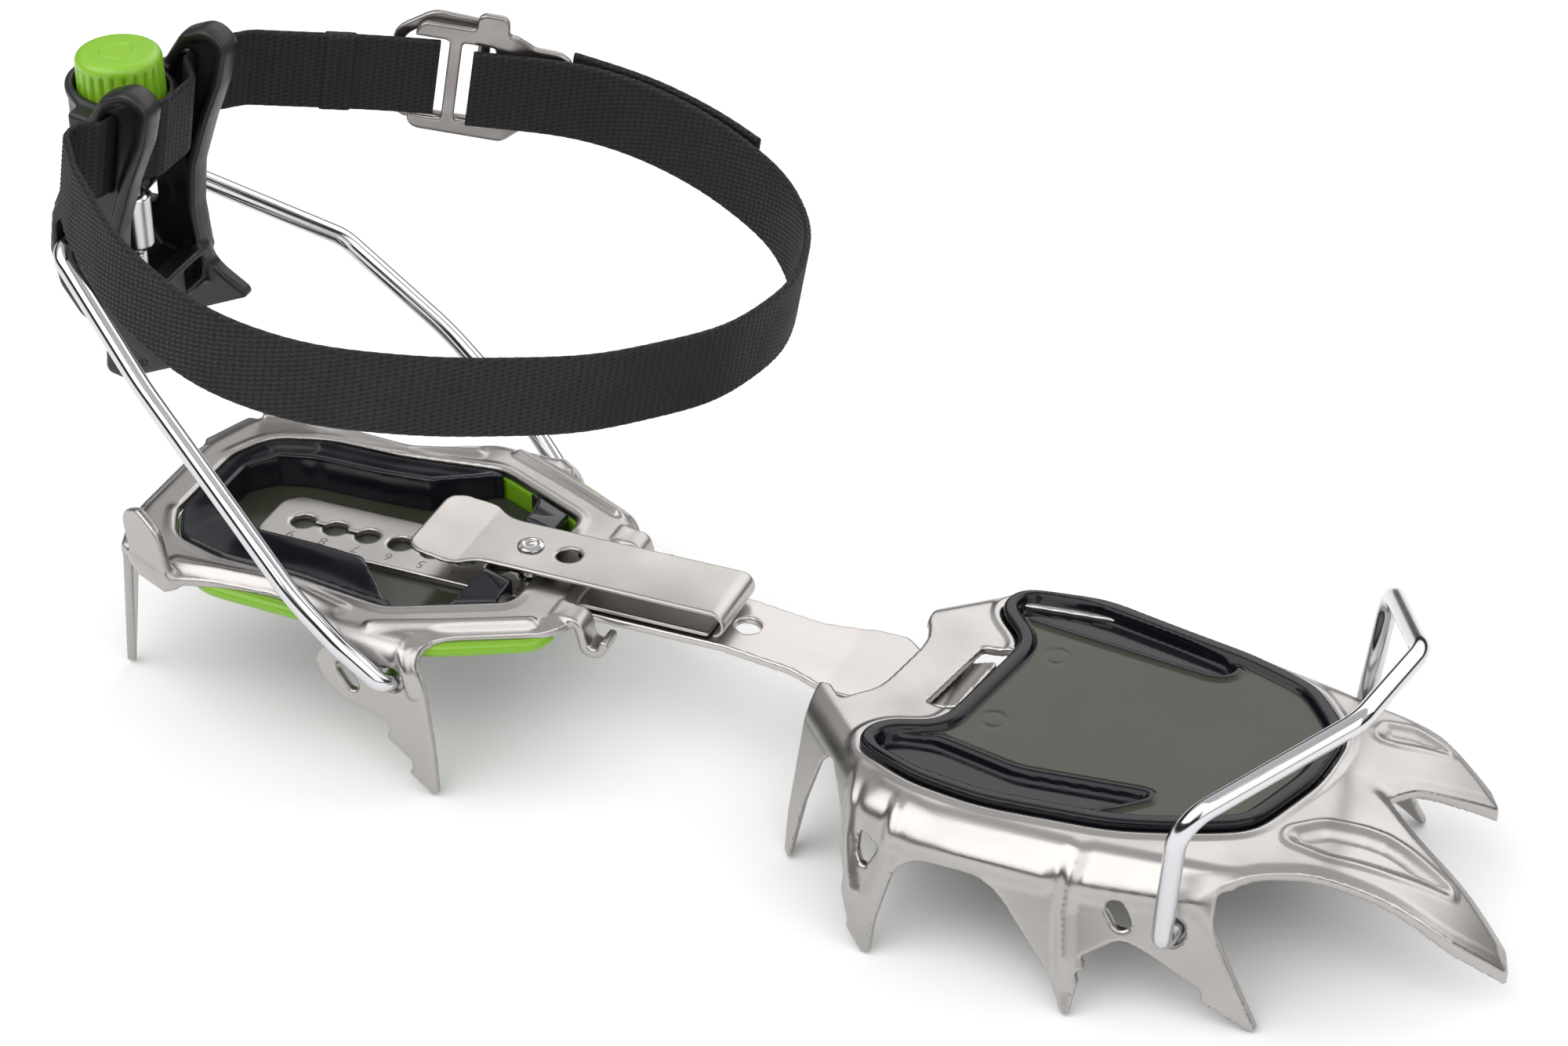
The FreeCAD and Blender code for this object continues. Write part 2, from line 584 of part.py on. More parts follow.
# Two flush rivets hold the spring under the heel plate's bridge.
rivets = []
for i, (x, y) in enumerate(RIVETS):
    foot = Vector(x, y, size("base_under"))
    rivets.append(cylinder(f"rivet_{i}", "Sizes.rivet_radius", "Sizes.heel_deck - Sizes.base_under", foot))
    rivets.append(cylinder(f"rivet_head_{i}", "Sizes.rivet_radius + 0.9", "0.5", foot - UP * 0.5))
node("spring_rivets", join("spring_rivets", rivets))

# The pin is turned: a shank into the bar, a neck through the leaf and a riveted head above it.
PIN_HALF = [
    (0, size("pin_tip")), (size("pin_radius") - 0.5, size("pin_tip")), (size("pin_radius"), 35.8),
    (size("pin_radius"), size("arm_under")), (1.6, size("arm_under")), (1.6, size("arm_under") + 1),
    (2.6, size("arm_under") + 1), (2.2, size("arm_under") + 1.9), (0, size("arm_under") + 1.9),
]
pin = new_body("lock_pin")
pin_profile = sketch(pin, "pin_half", [outline(PIN_HALF)], "XZ_Plane")
turned = pin.newObject("PartDesign::Revolution", "pin_turned")
turned.Profile = pin_profile
turned.ReferenceAxis = (pin_profile, ["V_Axis"])
turned.Angle = 360
pin.Tip = turned
pin.Placement.Base = Vector(size("lock_x"), 0, 0)
node("lock_pin", pin)

# ---------------------------------------------------------------- heel bail

PIVOT = Vector(size("heel_pivot_x"), 0, size("heel_pivot_z"))
RISE = math.radians(size("heel_bail_rise"))
BAIL_BACK = Vector(-math.cos(RISE), 0, math.sin(RISE))
CROSS = PIVOT + BAIL_BACK * size("heel_bail_reach")
LEG_Y = 48.0


def on_bail(across, along):
    """A place in the heel bail's plane."""
    place = PIVOT + BAIL_BACK * along
    return (place.x, across, place.z)


HEEL_BAIL = [
    on_bail(-LEG_Y + BAIL_HOOK, 0), on_bail(-LEG_Y, 0), on_bail(-49.6, 14), on_bail(-49.4, 28),
    on_bail(-37.2, 86), on_bail(-26.5, size("heel_bail_reach")), on_bail(20.5, size("heel_bail_reach")),
    on_bail(49.5, 79), on_bail(53.9, 45), on_bail(52.4, 14),
    on_bail(LEG_Y, 0), on_bail(LEG_Y - BAIL_HOOK, 0),
]
heel_bail = doc.addObject("Part::Feature", "heel_bail")
heel_bail.Shape = rod(HEEL_BAIL, [3.6, 30, 60, 80, 5, 5, 12, 60, 60, 3.6])
node("heel_bail", heel_bail)

# ---------------------------------------------------------------- adjusting nut, screw and knob

HUB = Vector(CROSS.x, size("lever_y"), CROSS.z)
SCREW = HUB + Vector(size("screw_x"), 0, 0)
barrel = cylinder("nut_barrel", "Sizes.barrel_radius", "14.4", SCREW - UP * 9)
eye = cylinder("nut_eye", "Sizes.barrel_radius", "8", HUB - ACROSS * 4, ACROSS)
nut_blank = join("nut_blank", [barrel, eye])
screw_bore = cylinder("nut_screw_bore", "Sizes.screw_radius + Sizes.running_gap", "30", SCREW - UP * 15)
wire_bore = cylinder("nut_wire_bore", "Sizes.wire / 2 + Sizes.running_gap", "30", HUB - ACROSS * 15, ACROSS)
node("bail_nut", cut("bail_nut", nut_blank, join("nut_bores", [screw_bore, wire_bore])))

node("adjust_screw", cylinder("adjust_screw", "Sizes.screw_radius", "40", SCREW - UP * 15))

# A ring on the screw, under the housing's floor, keeps the knob in the lever.
ring_plan = [circle(0, 0, size("screw_radius") + 1.6), circle(0, 0, size("screw_radius"))]
ring = pad("screw_clip", ring_plan, "0.8")
ring.Placement.Base = SCREW + UP * (size("knob_foot") - 5.2)
node("screw_clip", ring)

FLUTES = 24
knob = new_body("adjust_knob")
knob_ring = sketch(knob, "knob_ring", [circle(0, 0, size("knob_radius"))])
feature(knob, "Pad", "knob_pad", knob_ring, "Sizes.knob_top - Sizes.knob_foot")
flute_ring = sketch(knob, "knob_flute", [circle(size("knob_radius") + 0.35, 0, 0.8)], level="2")
feature(knob, "Pocket", "knob_flute_cut", flute_ring, "Sizes.knob_top - Sizes.knob_foot - 3.5", reverse=True)
doc.recompute()
flutes = knob.newObject("PartDesign::PolarPattern", "knob_flutes")
flutes.Originals = [doc.getObject("knob_flute_cut")]
flutes.Axis = (knob_ring, ["N_Axis"])
flutes.Angle = 360
flutes.Occurrences = FLUTES
knob.Tip = flutes
screw_seat = sketch(knob, "knob_seat", [circle(0, 0, size("screw_radius"))])
feature(knob, "Pocket", "knob_seat_cut", screw_seat, "1", reverse=True)
knob.Placement.Base = SCREW + UP * size("knob_foot")
node("adjust_knob", knob)

# ---------------------------------------------------------------- heel lever

WING = [
    (8, 15.2, 2), (5.4, 8.8, 2), (5.2, -3, 3), (8.3, -10), (8.8, -19), (6.2, -32, 2), (11.5, -34, 2),
    (23, -25.5), (14.5, -19.5, 3), (12.9, -5), (14.2, 6),
    (18.6, 18.5), (23.2, 29), (25.8, 38.5, 3), (22, 43, 4),
    (14.5, 40.5, 4), (8.8, 33, 5), (6.5, 24),
]
STRAP_SLOT = [(9.9, 14.9, 1), (13, 14.4, 1), (17, 36.4, 1), (13.9, 36.9, 1)]
wings = []
for side, sign in (("near", -1), ("far", 1)):
    level = "-(Sizes.wing_y + Sizes.wing_thick)" if sign > 0 else "Sizes.wing_y"
    wing_plan = [outline(WING), outline(STRAP_SLOT)]
    wing = pad(f"{side}_wing", wing_plan, "Sizes.wing_thick", level, plane="XZ_Plane")
    wings.append(wing)
HOUSING = [
    (-6.2, -8, 5), (-1, -17), (9.5, -17), (10.5, -11.2), (17.4, -5, 4.5), (17.4, 5, 4.5), (10.5, 11.2),
    (9.5, 17), (-1, 17), (-6.2, 8, 5),
]
housing = pad("lever_housing", [outline(HOUSING)], "14", "20")
heel_cup = pad("lever_bridge", [rectangle(8.6, 14.5, -17, 17)], "9", "-24")
lever_blank = join("lever_blank", [*wings, housing, heel_cup])
knob_well = cylinder("knob_well", "Sizes.knob_radius + 0.4", "20",
                     Vector(size("screw_x"), 0, 23.6))
screw_way = cylinder("screw_way", "Sizes.screw_radius + 0.3", "60", Vector(size("screw_x"), 0, -30))
lever = node("heel_lever", cut("heel_lever", lever_blank, join("lever_tools", [knob_well, screw_way])))
lever.Placement.Base = HUB

# ---------------------------------------------------------------- ankle strap and buckle

LOOP = FreeCAD.Placement(
    Vector(size("strap_x"), 0, size("strap_z")), Rotation(ACROSS, size("strap_droop"))
)
# The webbing's route in its own plane: from the buckle, round the ankle, through the lever and back.
LONG_RUN = [
    (50.5, 53.9, 0), (60, 58.6, 30), (71, 64.4, 20), (88, 66.2, 40),
    (108, 61.5, 40), (130, 50, 25), (143.5, 32.5, 16),
    (148.8, 10.5, 12), (143.5, -15.5, 16), (124, -43, 30),
    (98, -62.5, 40), (74, -74.5, 30), (50, -76.5, 40),
    (22, -63.5, 40), (0, -44, 25), (-10.5, -31, 6), (-3.6, -25.5, 3), (-3.4, -16.5, 3), (2.3, -9.5, 4),
    (2.3, 3.5, 4), (-3.4, 10.5, 3), (-3.6, 19.5, 3), (3, 29.5, 8), (28.5, 46.3, 20), (38, 51.6, 0),
]
TAIL_RUN = [(68, 67.6, 0), (88, 69.3, 40), (109, 64.3, 40), (119, 59.5, 0)]


def webbing(name, route):
    run = pad(name, [outline(band(route, size("web_thick")))], "Sizes.webbing", "-Sizes.webbing / 2")
    run.Placement = LOOP
    return run


node("ankle_strap", webbing("ankle_strap", LONG_RUN))
node("strap_tail", webbing("strap_tail", TAIL_RUN))

BUCKLE_AT = Vector(43.5, 54.2, 0)
BUCKLE_TURN = 20.0
BUCKLE_FRAME = LOOP.multiply(FreeCAD.Placement(BUCKLE_AT, Rotation(UP, BUCKLE_TURN)))
frame_loops = [
    outline([(-20, -9, 5), (-13, -14.5, 5), (13, -14.5, 3), (13, 14.5, 3), (-13, 14.5, 5), (-20, 9, 5)]),
    rectangle(-14.5, -1.6, -10.8, 10.8, 2), rectangle(1.6, 8.6, -10.8, 10.8, 1.5),
]
buckle = pad("buckle_frame", frame_loops, "Sizes.buckle_thick", plane="XZ_Plane", midplane=True)
buckle.Placement = BUCKLE_FRAME
node("buckle_frame", buckle)

# ---------------------------------------------------------------- finish

doc.recompute()
failed = [made.Name for made in doc.Objects if {"Invalid", "Error"} & set(made.State)]
if failed:
    raise RuntimeError(f"failed objects: {failed}")
whole = FreeCAD.BoundBox()
for label, made in NODES.items():
    if made.Shape.isNull() or not made.Shape.isValid():
        raise RuntimeError(f"bad shape: {label}")
    whole.add(made.Shape.BoundBox)

# Everything moves together, so that the ground's origin is under the middle of the bounding box.
SHIFT = Vector(-whole.Center.x, -whole.Center.y, 0)
for label, made in NODES.items():
    made.Placement = FreeCAD.Placement(SHIFT, Rotation()).multiply(made.Placement)
    made.Shape.exportStep(f"parts/{label}.step")
    print(f"{label}: {len(made.Shape.Solids)} solid, {made.Shape.Volume:.0f} mm3")

# Joint places in the finished frame, for whoever writes the joints.
for name, place in {
    "heel pivot": PIVOT,
    "cross wire": HUB,
    "screw": SCREW,
    "toe pivot": TOE_PIVOT,
    "toe bail axis": TOE_TURN.multVec(ACROSS) - SHIFT,
    "curl": Vector(size("curl_x"), 0, CURL),
    "lock": Vector(size("lock_x"), 0, size("bar_top")),
}.items():
    moved = place + SHIFT
    print(f"{name} at {moved.x:.3f}, {moved.y:.3f}, {moved.z:.3f}")
print(f"shift {SHIFT.x:.3f}, {SHIFT.y:.3f}")
print(f"size {whole.XLength:.1f} x {whole.YLength:.1f} x {whole.ZLength:.1f}")
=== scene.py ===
"""The looks of a strap-on boot crampon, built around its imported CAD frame.

Shapes are drawn in millimetres in the frame of the CAD drawing (X forward along the bar, Y left, Z up from the
points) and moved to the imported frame, in metres, when their meshes are made. Most pieces are signed distances on a
grid of sample points, negative inside the material, because that gives stamped and moulded parts their soft edges.
"""

import functools
import math
from types import SimpleNamespace

import bmesh
import bpy
import numpy as np
from mathutils import Matrix, Vector


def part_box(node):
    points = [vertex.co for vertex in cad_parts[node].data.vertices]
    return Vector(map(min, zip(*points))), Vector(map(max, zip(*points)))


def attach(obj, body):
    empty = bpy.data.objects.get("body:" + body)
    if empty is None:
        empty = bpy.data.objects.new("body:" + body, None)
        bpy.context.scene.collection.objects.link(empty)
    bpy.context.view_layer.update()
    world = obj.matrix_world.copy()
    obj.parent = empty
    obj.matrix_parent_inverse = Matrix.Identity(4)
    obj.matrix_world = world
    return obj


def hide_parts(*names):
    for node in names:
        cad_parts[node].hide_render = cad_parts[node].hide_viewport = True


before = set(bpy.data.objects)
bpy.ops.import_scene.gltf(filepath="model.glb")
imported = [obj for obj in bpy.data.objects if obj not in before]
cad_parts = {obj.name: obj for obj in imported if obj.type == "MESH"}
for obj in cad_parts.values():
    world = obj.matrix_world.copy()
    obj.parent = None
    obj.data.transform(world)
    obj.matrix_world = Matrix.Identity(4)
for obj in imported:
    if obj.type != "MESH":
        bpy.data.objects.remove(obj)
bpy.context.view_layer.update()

MM = 0.001
LOCK_X = -64.4  # the lock pin's place along the bar in the drawing
pin_low, pin_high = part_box("lock_pin")
SHIFT = Vector(((pin_low.x + pin_high.x) / 2 / MM - LOCK_X, (pin_low.y + pin_high.y) / 2 / MM, 0.0))

STEEL = 2.2  # the stamped plates' thickness
TOE_DECK = 35.0
HEEL_DECK = 40.0
WIRE = 2.3  # the bails' radius
WIRE_HOLE = 3.2
PLATE_STEP = 0.5  # between the sample points of the plates and the lever
HUB = Vector((-166.974, -3.0, 112.817))  # the heel bail's cross wire, where the lever turns
SCREW_X = 6.0  # the screw's axis and the knob's cup, ahead of the hub


def rotation(degrees, axis, size=4):
    return Matrix.Rotation(math.radians(degrees), size, axis)


def new_object(name, data):
    made = bpy.data.objects.new(name, data)
    bpy.context.scene.collection.objects.link(made)
    return made


# -------- camera, light and floor

CAMERA_AZIMUTH, CAMERA_RISE = math.radians(22.2), math.radians(33.3)
CAMERA_TARGET = Vector((0.0, -1.7, 40.0))
CAMERA_AWAY, CAMERA_UP = 857.14, 21.96
LIGHTS = [  # name, place, target and size in metres, power in watts
    ("key", (-0.5, -0.7, 1.1), (0, 0, 0.05), (1.9, 1.4), 15),
    ("fill", (0.9, -0.6, 0.7), (0, 0, 0.05), (1.2, 1.2), 6),
    ("back", (0.45, 1.3, 1.0), (0, 0, 0.04), (3.0, 1.1), 13),
]
# How bright the room is from straight down, 0, to straight up, 1. The dark band gives the metal its contrast.
ROOM = [(0.0, 0.4), (0.5, 0.3), (0.54, 0.03), (0.65, 0.04), (0.72, 0.50), (0.80, 0.95), (1.0, 0.75)]
ROOM_STRENGTH = 0.80


def aimed(name, data, along):
    """A camera or light that looks along a direction."""
    made = new_object(name, data)
    made.rotation_mode = "QUATERNION"
    made.rotation_quaternion = along.to_track_quat("-Z", "Y")
    return made


def make_camera():
    flat = math.cos(CAMERA_RISE)
    back = Vector((math.sin(CAMERA_AZIMUTH) * flat, -math.cos(CAMERA_AZIMUTH) * flat, math.sin(CAMERA_RISE)))
    data = bpy.data.cameras.new("camera")
    data.lens = 86.4
    data.sensor_width = 36.0
    data.clip_start, data.clip_end = 0.02, 20.0
    camera = aimed("camera", data, -back)
    upward = camera.rotation_quaternion @ Vector((0, 1, 0))
    camera.location = (CAMERA_TARGET + SHIFT + back * CAMERA_AWAY + upward * CAMERA_UP) * MM
    bpy.context.scene.camera = camera


def make_room():
    world = bpy.data.worlds.new("studio")
    bpy.context.scene.world = world
    world.use_nodes = True
    nodes, link = world.node_tree.nodes, world.node_tree.links.new
    nodes.clear()
    where, split, rise, ramp, sky, output = (nodes.new("ShaderNode" + kind) for kind in (
        "TexCoord", "SeparateXYZ", "MapRange", "ValToRGB", "Background", "OutputWorld",
    ))
    rise.inputs["From Min"].default_value = -1.0
    sky.inputs["Strength"].default_value = ROOM_STRENGTH
    stops = ramp.color_ramp.elements
    for place, level in ROOM[1:-1]:
        stops.new(place)
    for stop, (place, level) in zip(stops, ROOM):
        stop.color = (level, level, level * 1.01, 1)
    link(where.outputs["Generated"], split.inputs[0])
    link(split.outputs["Z"], rise.inputs["Value"])
    link(rise.outputs["Result"], ramp.inputs["Fac"])
    link(ramp.outputs["Color"], sky.inputs["Color"])
    link(sky.outputs[0], output.inputs[0])


def built_object(name, builder, finish):
    """An object of the mesh that a bmesh holds."""
    mesh = bpy.data.meshes.new(name)
    builder.to_mesh(mesh)
    builder.free()
    mesh.materials.append(finish)
    return new_object(name, mesh)


def make_studio():
    make_room()
    for name, place, target, size, power in LIGHTS:
        data = bpy.data.lights.new(name, "AREA")
        data.shape = "RECTANGLE"
        data.size, data.size_y = size
        data.energy = power
        aimed(name, data, Vector(target) - Vector(place)).location = place
    builder = bmesh.new()
    bmesh.ops.create_grid(builder, x_segments=2, y_segments=2, size=6.0)
    paper = plain("floor_paper", (0.95, 0.95, 0.95), (0.95, 0.95, 0.95), (0.8, 0.8), 0.03)
    floor = built_object("floor", builder, paper)
    floor.location.z = -0.0005
    bpy.context.scene.view_settings.view_transform = "Standard"


# -------- materials


def set_sockets(node, values):
    for socket, value in values.items():
        node.inputs[socket].default_value = value
    return node


def plain(name, colour, other, rough, patch, metal=0.0, grain=0.0, grain_size=0.0004, stretch=(1, 1, 1), coat=0.0,
          specular=0.5):
    """A finish whose colour and gloss drift over patches and whose face has a fine grain."""
    made = bpy.data.materials.new(name)
    made.use_nodes = True
    nodes, link = made.node_tree.nodes, made.node_tree.links.new
    shader = set_sockets(nodes["Principled BSDF"], {
        "Metallic": metal, "Coat Weight": coat, "Coat Roughness": 0.08, "Specular IOR Level": specular,
    })
    mapping = set_sockets(nodes.new("ShaderNodeMapping"), {"Scale": stretch})
    link(nodes.new("ShaderNodeTexCoord").outputs["Object"], mapping.inputs["Vector"])

    def noise(size, detail):
        cloud = set_sockets(nodes.new("ShaderNodeTexNoise"), {"Scale": 1 / size, "Detail": detail})
        link(mapping.outputs[0], cloud.inputs["Vector"])
        return cloud.outputs["Fac"]

    drift = noise(patch, 5)
    tone = nodes.new("ShaderNodeMix")
    tone.data_type = "RGBA"
    set_sockets(tone, {"A": (*colour, 1), "B": (*other, 1)})
    link(drift, tone.inputs["Factor"])
    link(tone.outputs["Result"], shader.inputs["Base Color"])
    gloss = set_sockets(nodes.new("ShaderNodeMapRange"), {
        "From Min": 0.35, "From Max": 0.65, "To Min": rough[0], "To Max": rough[1],
    })
    link(drift, gloss.inputs["Value"])
    link(gloss.outputs["Result"], shader.inputs["Roughness"])
    if grain:
        bump = set_sockets(nodes.new("ShaderNodeBump"), {"Strength": grain, "Distance": 0.0003})
        link(noise(grain_size, 3), bump.inputs["Height"])
        link(bump.outputs["Normal"], shader.inputs["Normal"])
    return made


def two_tone(made, colour, rough):
    """Lays a second colour and gloss over a finish where the mesh's attribute says dark; on the lime trays and the
    webbing that second colour is painted shade.
    """
    nodes, link = made.node_tree.nodes, made.node_tree.links.new
    shader = nodes["Principled BSDF"]
    mask = nodes.new("ShaderNodeAttribute")
    mask.attribute_name = "dark"
    for socket, value in (("Base Color", (*colour, 1)), ("Roughness", (rough, rough, rough, 1))):
        over = nodes.new("ShaderNodeMix")
        over.data_type = "RGBA"
        link(shader.inputs[socket].links[0].from_socket, over.inputs["A"])
        over.inputs["B"].default_value = value
        link(mask.outputs["Fac"], over.inputs["Factor"])
        link(over.outputs["Result"], shader.inputs[socket])
    return made


def make_finishes():
    metal = functools.partial(plain, metal=1.0)
    lime = plain("lime_plastic", (0.20, 0.43, 0.012), (0.17, 0.38, 0.010), (0.25, 0.34), 0.02, grain=0.02, coat=0.2)
    smoke = plain("smoked_olive_plastic", (0.040, 0.047, 0.029), (0.032, 0.037, 0.024), (0.13, 0.20), 0.04,
                  specular=0.3)
    webbing = plain("black_webbing", (0.016, 0.014, 0.016), (0.012, 0.011, 0.012), (0.42, 0.52), 0.01,
                    grain=0.1, grain_size=0.0003, specular=0.35)
    return SimpleNamespace(
        plate=metal("stamped_steel", (0.47, 0.45, 0.435), (0.41, 0.39, 0.375), (0.26, 0.36), 0.02,
                    grain=0.05, grain_size=0.0005),
        bar=metal("brushed_bar_steel", (0.56, 0.53, 0.51), (0.50, 0.475, 0.455), (0.28, 0.38), 0.03,
                  grain=0.05, grain_size=0.0005, stretch=(0.15, 1, 1)),
        spring=metal("spring_steel", (0.50, 0.475, 0.45), (0.44, 0.42, 0.395), (0.26, 0.36), 0.03, grain=0.05),
        chrome=metal("bail_chrome", (0.66, 0.66, 0.68), (0.62, 0.62, 0.64), (0.07, 0.13), 0.01),
        hardware=metal("bright_hardware", (0.64, 0.63, 0.62), (0.58, 0.57, 0.56), (0.18, 0.26), 0.006, grain=0.03),
        buckle=metal("buckle_steel", (0.36, 0.335, 0.32), (0.29, 0.27, 0.26), (0.26, 0.38), 0.008, grain=0.08),
        mark=metal("stamped_marks", (0.26, 0.25, 0.24), (0.2236, 0.215, 0.2064), (0.4, 0.5), 0.01),
        # The lime's second tone is painted shade on the trays' lower faces.
        lime=two_tone(lime, (0.035, 0.045, 0.025), 0.5),
        knob=plain("lime_knob", (0.24, 0.49, 0.022), (0.21, 0.45, 0.018), (0.30, 0.38), 0.01, grain=0.03, coat=0.15),
        smoke=two_tone(smoke, (0.004, 0.005, 0.007), 0.12),
        black=plain("black_rim_plastic", (0.008, 0.009, 0.013), (0.006, 0.007, 0.010), (0.12, 0.2), 0.01),
        # The webbing's second tone is painted shade in the gaps between the yarns.
        webbing=two_tone(webbing, (0.0005, 0.0005, 0.0005), 0.9),
        nylon=plain("black_nylon", (0.009, 0.009, 0.010), (0.007, 0.007, 0.008), (0.32, 0.45), 0.01,
                    grain=0.10, grain_size=0.00025),
    )


# -------- outlines and distances


def corner(before, at, after, radius):
    """The arc that rounds a corner: its centre, its two ends as seen from there, and its sweep."""
    at = Vector(at)
    back, ahead = ((Vector(p) - at).normalized() for p in (before, after))
    half = back.angle(ahead) / 2
    centre = at + (back + ahead).normalized() * (radius / math.sin(half))
    start, end = (at + way * (radius / math.tan(half)) - centre for way in (back, ahead))
    return centre, start, end, math.pi - 2 * half


def rounded(points, arc_step=12):
    """Corner points (x, y) or (x, y, radius) as a plain polygon with its corners rounded."""
    made = []
    for i, point in enumerate(points):
        if len(point) < 3:
            made.append(point)
            continue
        centre, start, end, sweep = corner(points[i - 1][:2], point[:2], points[(i + 1) % len(points)][:2], point[2])
        turn = 1 if start.x * end.y > start.y * end.x else -1
        count = max(2, round(math.degrees(sweep) / arc_step))
        for k in range(count + 1):
            angle = turn * sweep * k / count
            made.append((
                centre.x + start.x * math.cos(angle) - start.y * math.sin(angle),
                centre.y + start.x * math.sin(angle) + start.y * math.cos(angle),
            ))
    return made


def flowing(points, reach, step=1.5):
    """A rounded outline resampled and smoothed, so that straight runs flow into curves."""
    line = np.array(rounded(points))
    runs = np.hypot(*(np.roll(line, -1, axis=0) - line).T)
    lengths = np.concatenate([[0], np.cumsum(runs)])
    stations = np.linspace(0, lengths[-1], round(lengths[-1] / step), endpoint=False)
    closed = np.vstack([line, line[:1]])
    smooth = np.stack([np.interp(stations, lengths, closed[:, i]) for i in (0, 1)], axis=1)
    half = max(1, round(reach / step / 2))
    for _ in range(2):
        smooth = sum(np.roll(smooth, k, axis=0) for k in range(-half, half + 1)) / (2 * half + 1)
    return [tuple(p) for p in smooth.tolist()]


def mirrored(half):
    """A symmetrical outline from its left half."""
    return half + [(p[0], -p[1], *p[2:]) for p in reversed(half)]


def grid(low, high, step):
    """Sample points through a box: the grid, and its x, y and z, which broadcast together."""
    counts = [math.ceil((b - a) / step) + 1 for a, b in zip(low, high)]
    x, y, z = (np.float32(a) + np.float32(step) * np.arange(n, dtype=np.float32) for a, n in zip(low, counts))
    g = SimpleNamespace(low=np.array(low, float), step=step, shape=tuple(counts))
    return g, x[:, None, None], y[None, :, None], z[None, None, :]


def both(*fields):
    """Where all the shapes overlap."""
    return functools.reduce(np.maximum, fields)


def either(*fields):
    return functools.reduce(np.minimum, fields)


def polygon(u, v, points):
    """Signed distance to a closed outline whose points may themselves change over the grid."""
    best, inside = np.float32(np.inf), np.False_
    for (ax, ay), (bx, by) in zip(points, points[1:] + points[:1]):
        ex, ey = np.float32(1) * (bx - ax), np.float32(1) * (by - ay)
        wx, wy = u - ax, v - ay
        t = np.clip((wx * ex + wy * ey) / (ex * ex + ey * ey), 0, 1)
        best = np.minimum(best, (wx - t * ex) ** 2 + (wy - t * ey) ** 2)
        rises = (wy < 0) & (v - by >= 0) | (wy >= 0) & (v - by < 0)
        inside = inside ^ rises & ((wx * ey < wy * ex) == (ey > 0))
    return np.where(inside, -1, 1).astype(np.float32) * np.sqrt(best)


def flow(u, v, points, reach):
    """Signed distance to a flowing outline."""
    return polygon(u, v, flowing(points, reach))


def shape(u, v, points, *holes):
    """Signed distance to a rounded outline with holes in it."""
    return both(polygon(u, v, rounded(points)), *(-hole for hole in holes))


def disc(u, v, x, y, radius):
    return np.sqrt((u - x) ** 2 + (v - y) ** 2) - radius


def stroke(u, v, points):
    """Distance from an open line of straight runs."""
    best = np.float32(np.inf)
    for (ax, ay), (bx, by) in zip(points, points[1:]):
        ex, ey = bx - ax, by - ay
        t = np.clip(((u - ax) * ex + (v - ay) * ey) / (ex * ex + ey * ey), 0, 1)
        best = np.minimum(best, (u - ax - t * ex) ** 2 + (v - ay - t * ey) ** 2)
    return np.sqrt(best)


def ease(value, start, end):
    """0 at start and 1 at end, smoothly."""
    t = np.clip((value - start) / (end - start), 0, 1)
    return t * t * (3 - 2 * t)


def swell(distance, width):
    """A soft ridge of height 1 whose foot is width from its middle."""
    return 1 - ease(np.abs(distance), 0, width)


def beads(u, v, lines):
    """Soft ridges summed, each a height, a width and the line that it follows."""
    return sum(height * swell(stroke(u, v, line), width) for height, width, line in lines)


def soften(field, reach, axis):
    """A field averaged over neighbours along one axis, which rounds its creases."""
    return sum(np.roll(field, k, axis=axis) for k in range(-reach, reach + 1)) / np.float32(2 * reach + 1)


def round_both(a, b, radius):
    """Where both shapes overlap, with a round outer edge."""
    edge = np.sqrt(np.maximum(a + radius, 0) ** 2 + np.maximum(b + radius, 0) ** 2)
    return np.minimum(np.maximum(a, b), -radius) + edge


def blend_either(a, b, radius):
    """Either shape, with a fillet where they meet."""
    h = np.clip(0.5 + 0.5 * (b - a) / radius, 0, 1)
    return b * (1 - h) + a * h - radius * h * (1 - h)


def prism(outline, z, low, high, edge):
    """An upright slab with rounded edges, from an outline's distance and two levels."""
    return round_both(outline, np.abs(z - (low + high) / 2) - (high - low) / 2, edge)


# -------- meshes


def to_frame(places, place=None):
    """Drawing millimetres, or a local frame's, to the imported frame's metres."""
    places = np.asarray(places, float)
    if place is not None:
        turn = np.array(place, float)
        places = places @ turn[:3, :3].T + turn[:3, 3]
    return (places + np.array(SHIFT)) * MM


def make_mesh(name, places, faces, finish, body, slot, replaces=(), place=None):
    """A piece from points and faces. The makers below pass its last five values on as facts."""
    mesh = bpy.data.meshes.new(name)
    mesh.from_pydata(to_frame(places, place).tolist(), [], [list(f) for f in faces])
    mesh.polygons.foreach_set("use_smooth", [True] * len(mesh.polygons))
    mesh.materials.append(finish)
    mesh.update()
    piece = new_object(name, mesh)
    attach(piece, body)
    if replaces:
        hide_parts(*replaces)
    return piece


def second_tone(piece, shares):
    """Writes how much of its finish's second tone each point shows."""
    tones = piece.data.attributes.new("dark", "FLOAT", "POINT")
    tones.data.foreach_set("value", shares.astype(np.float32))


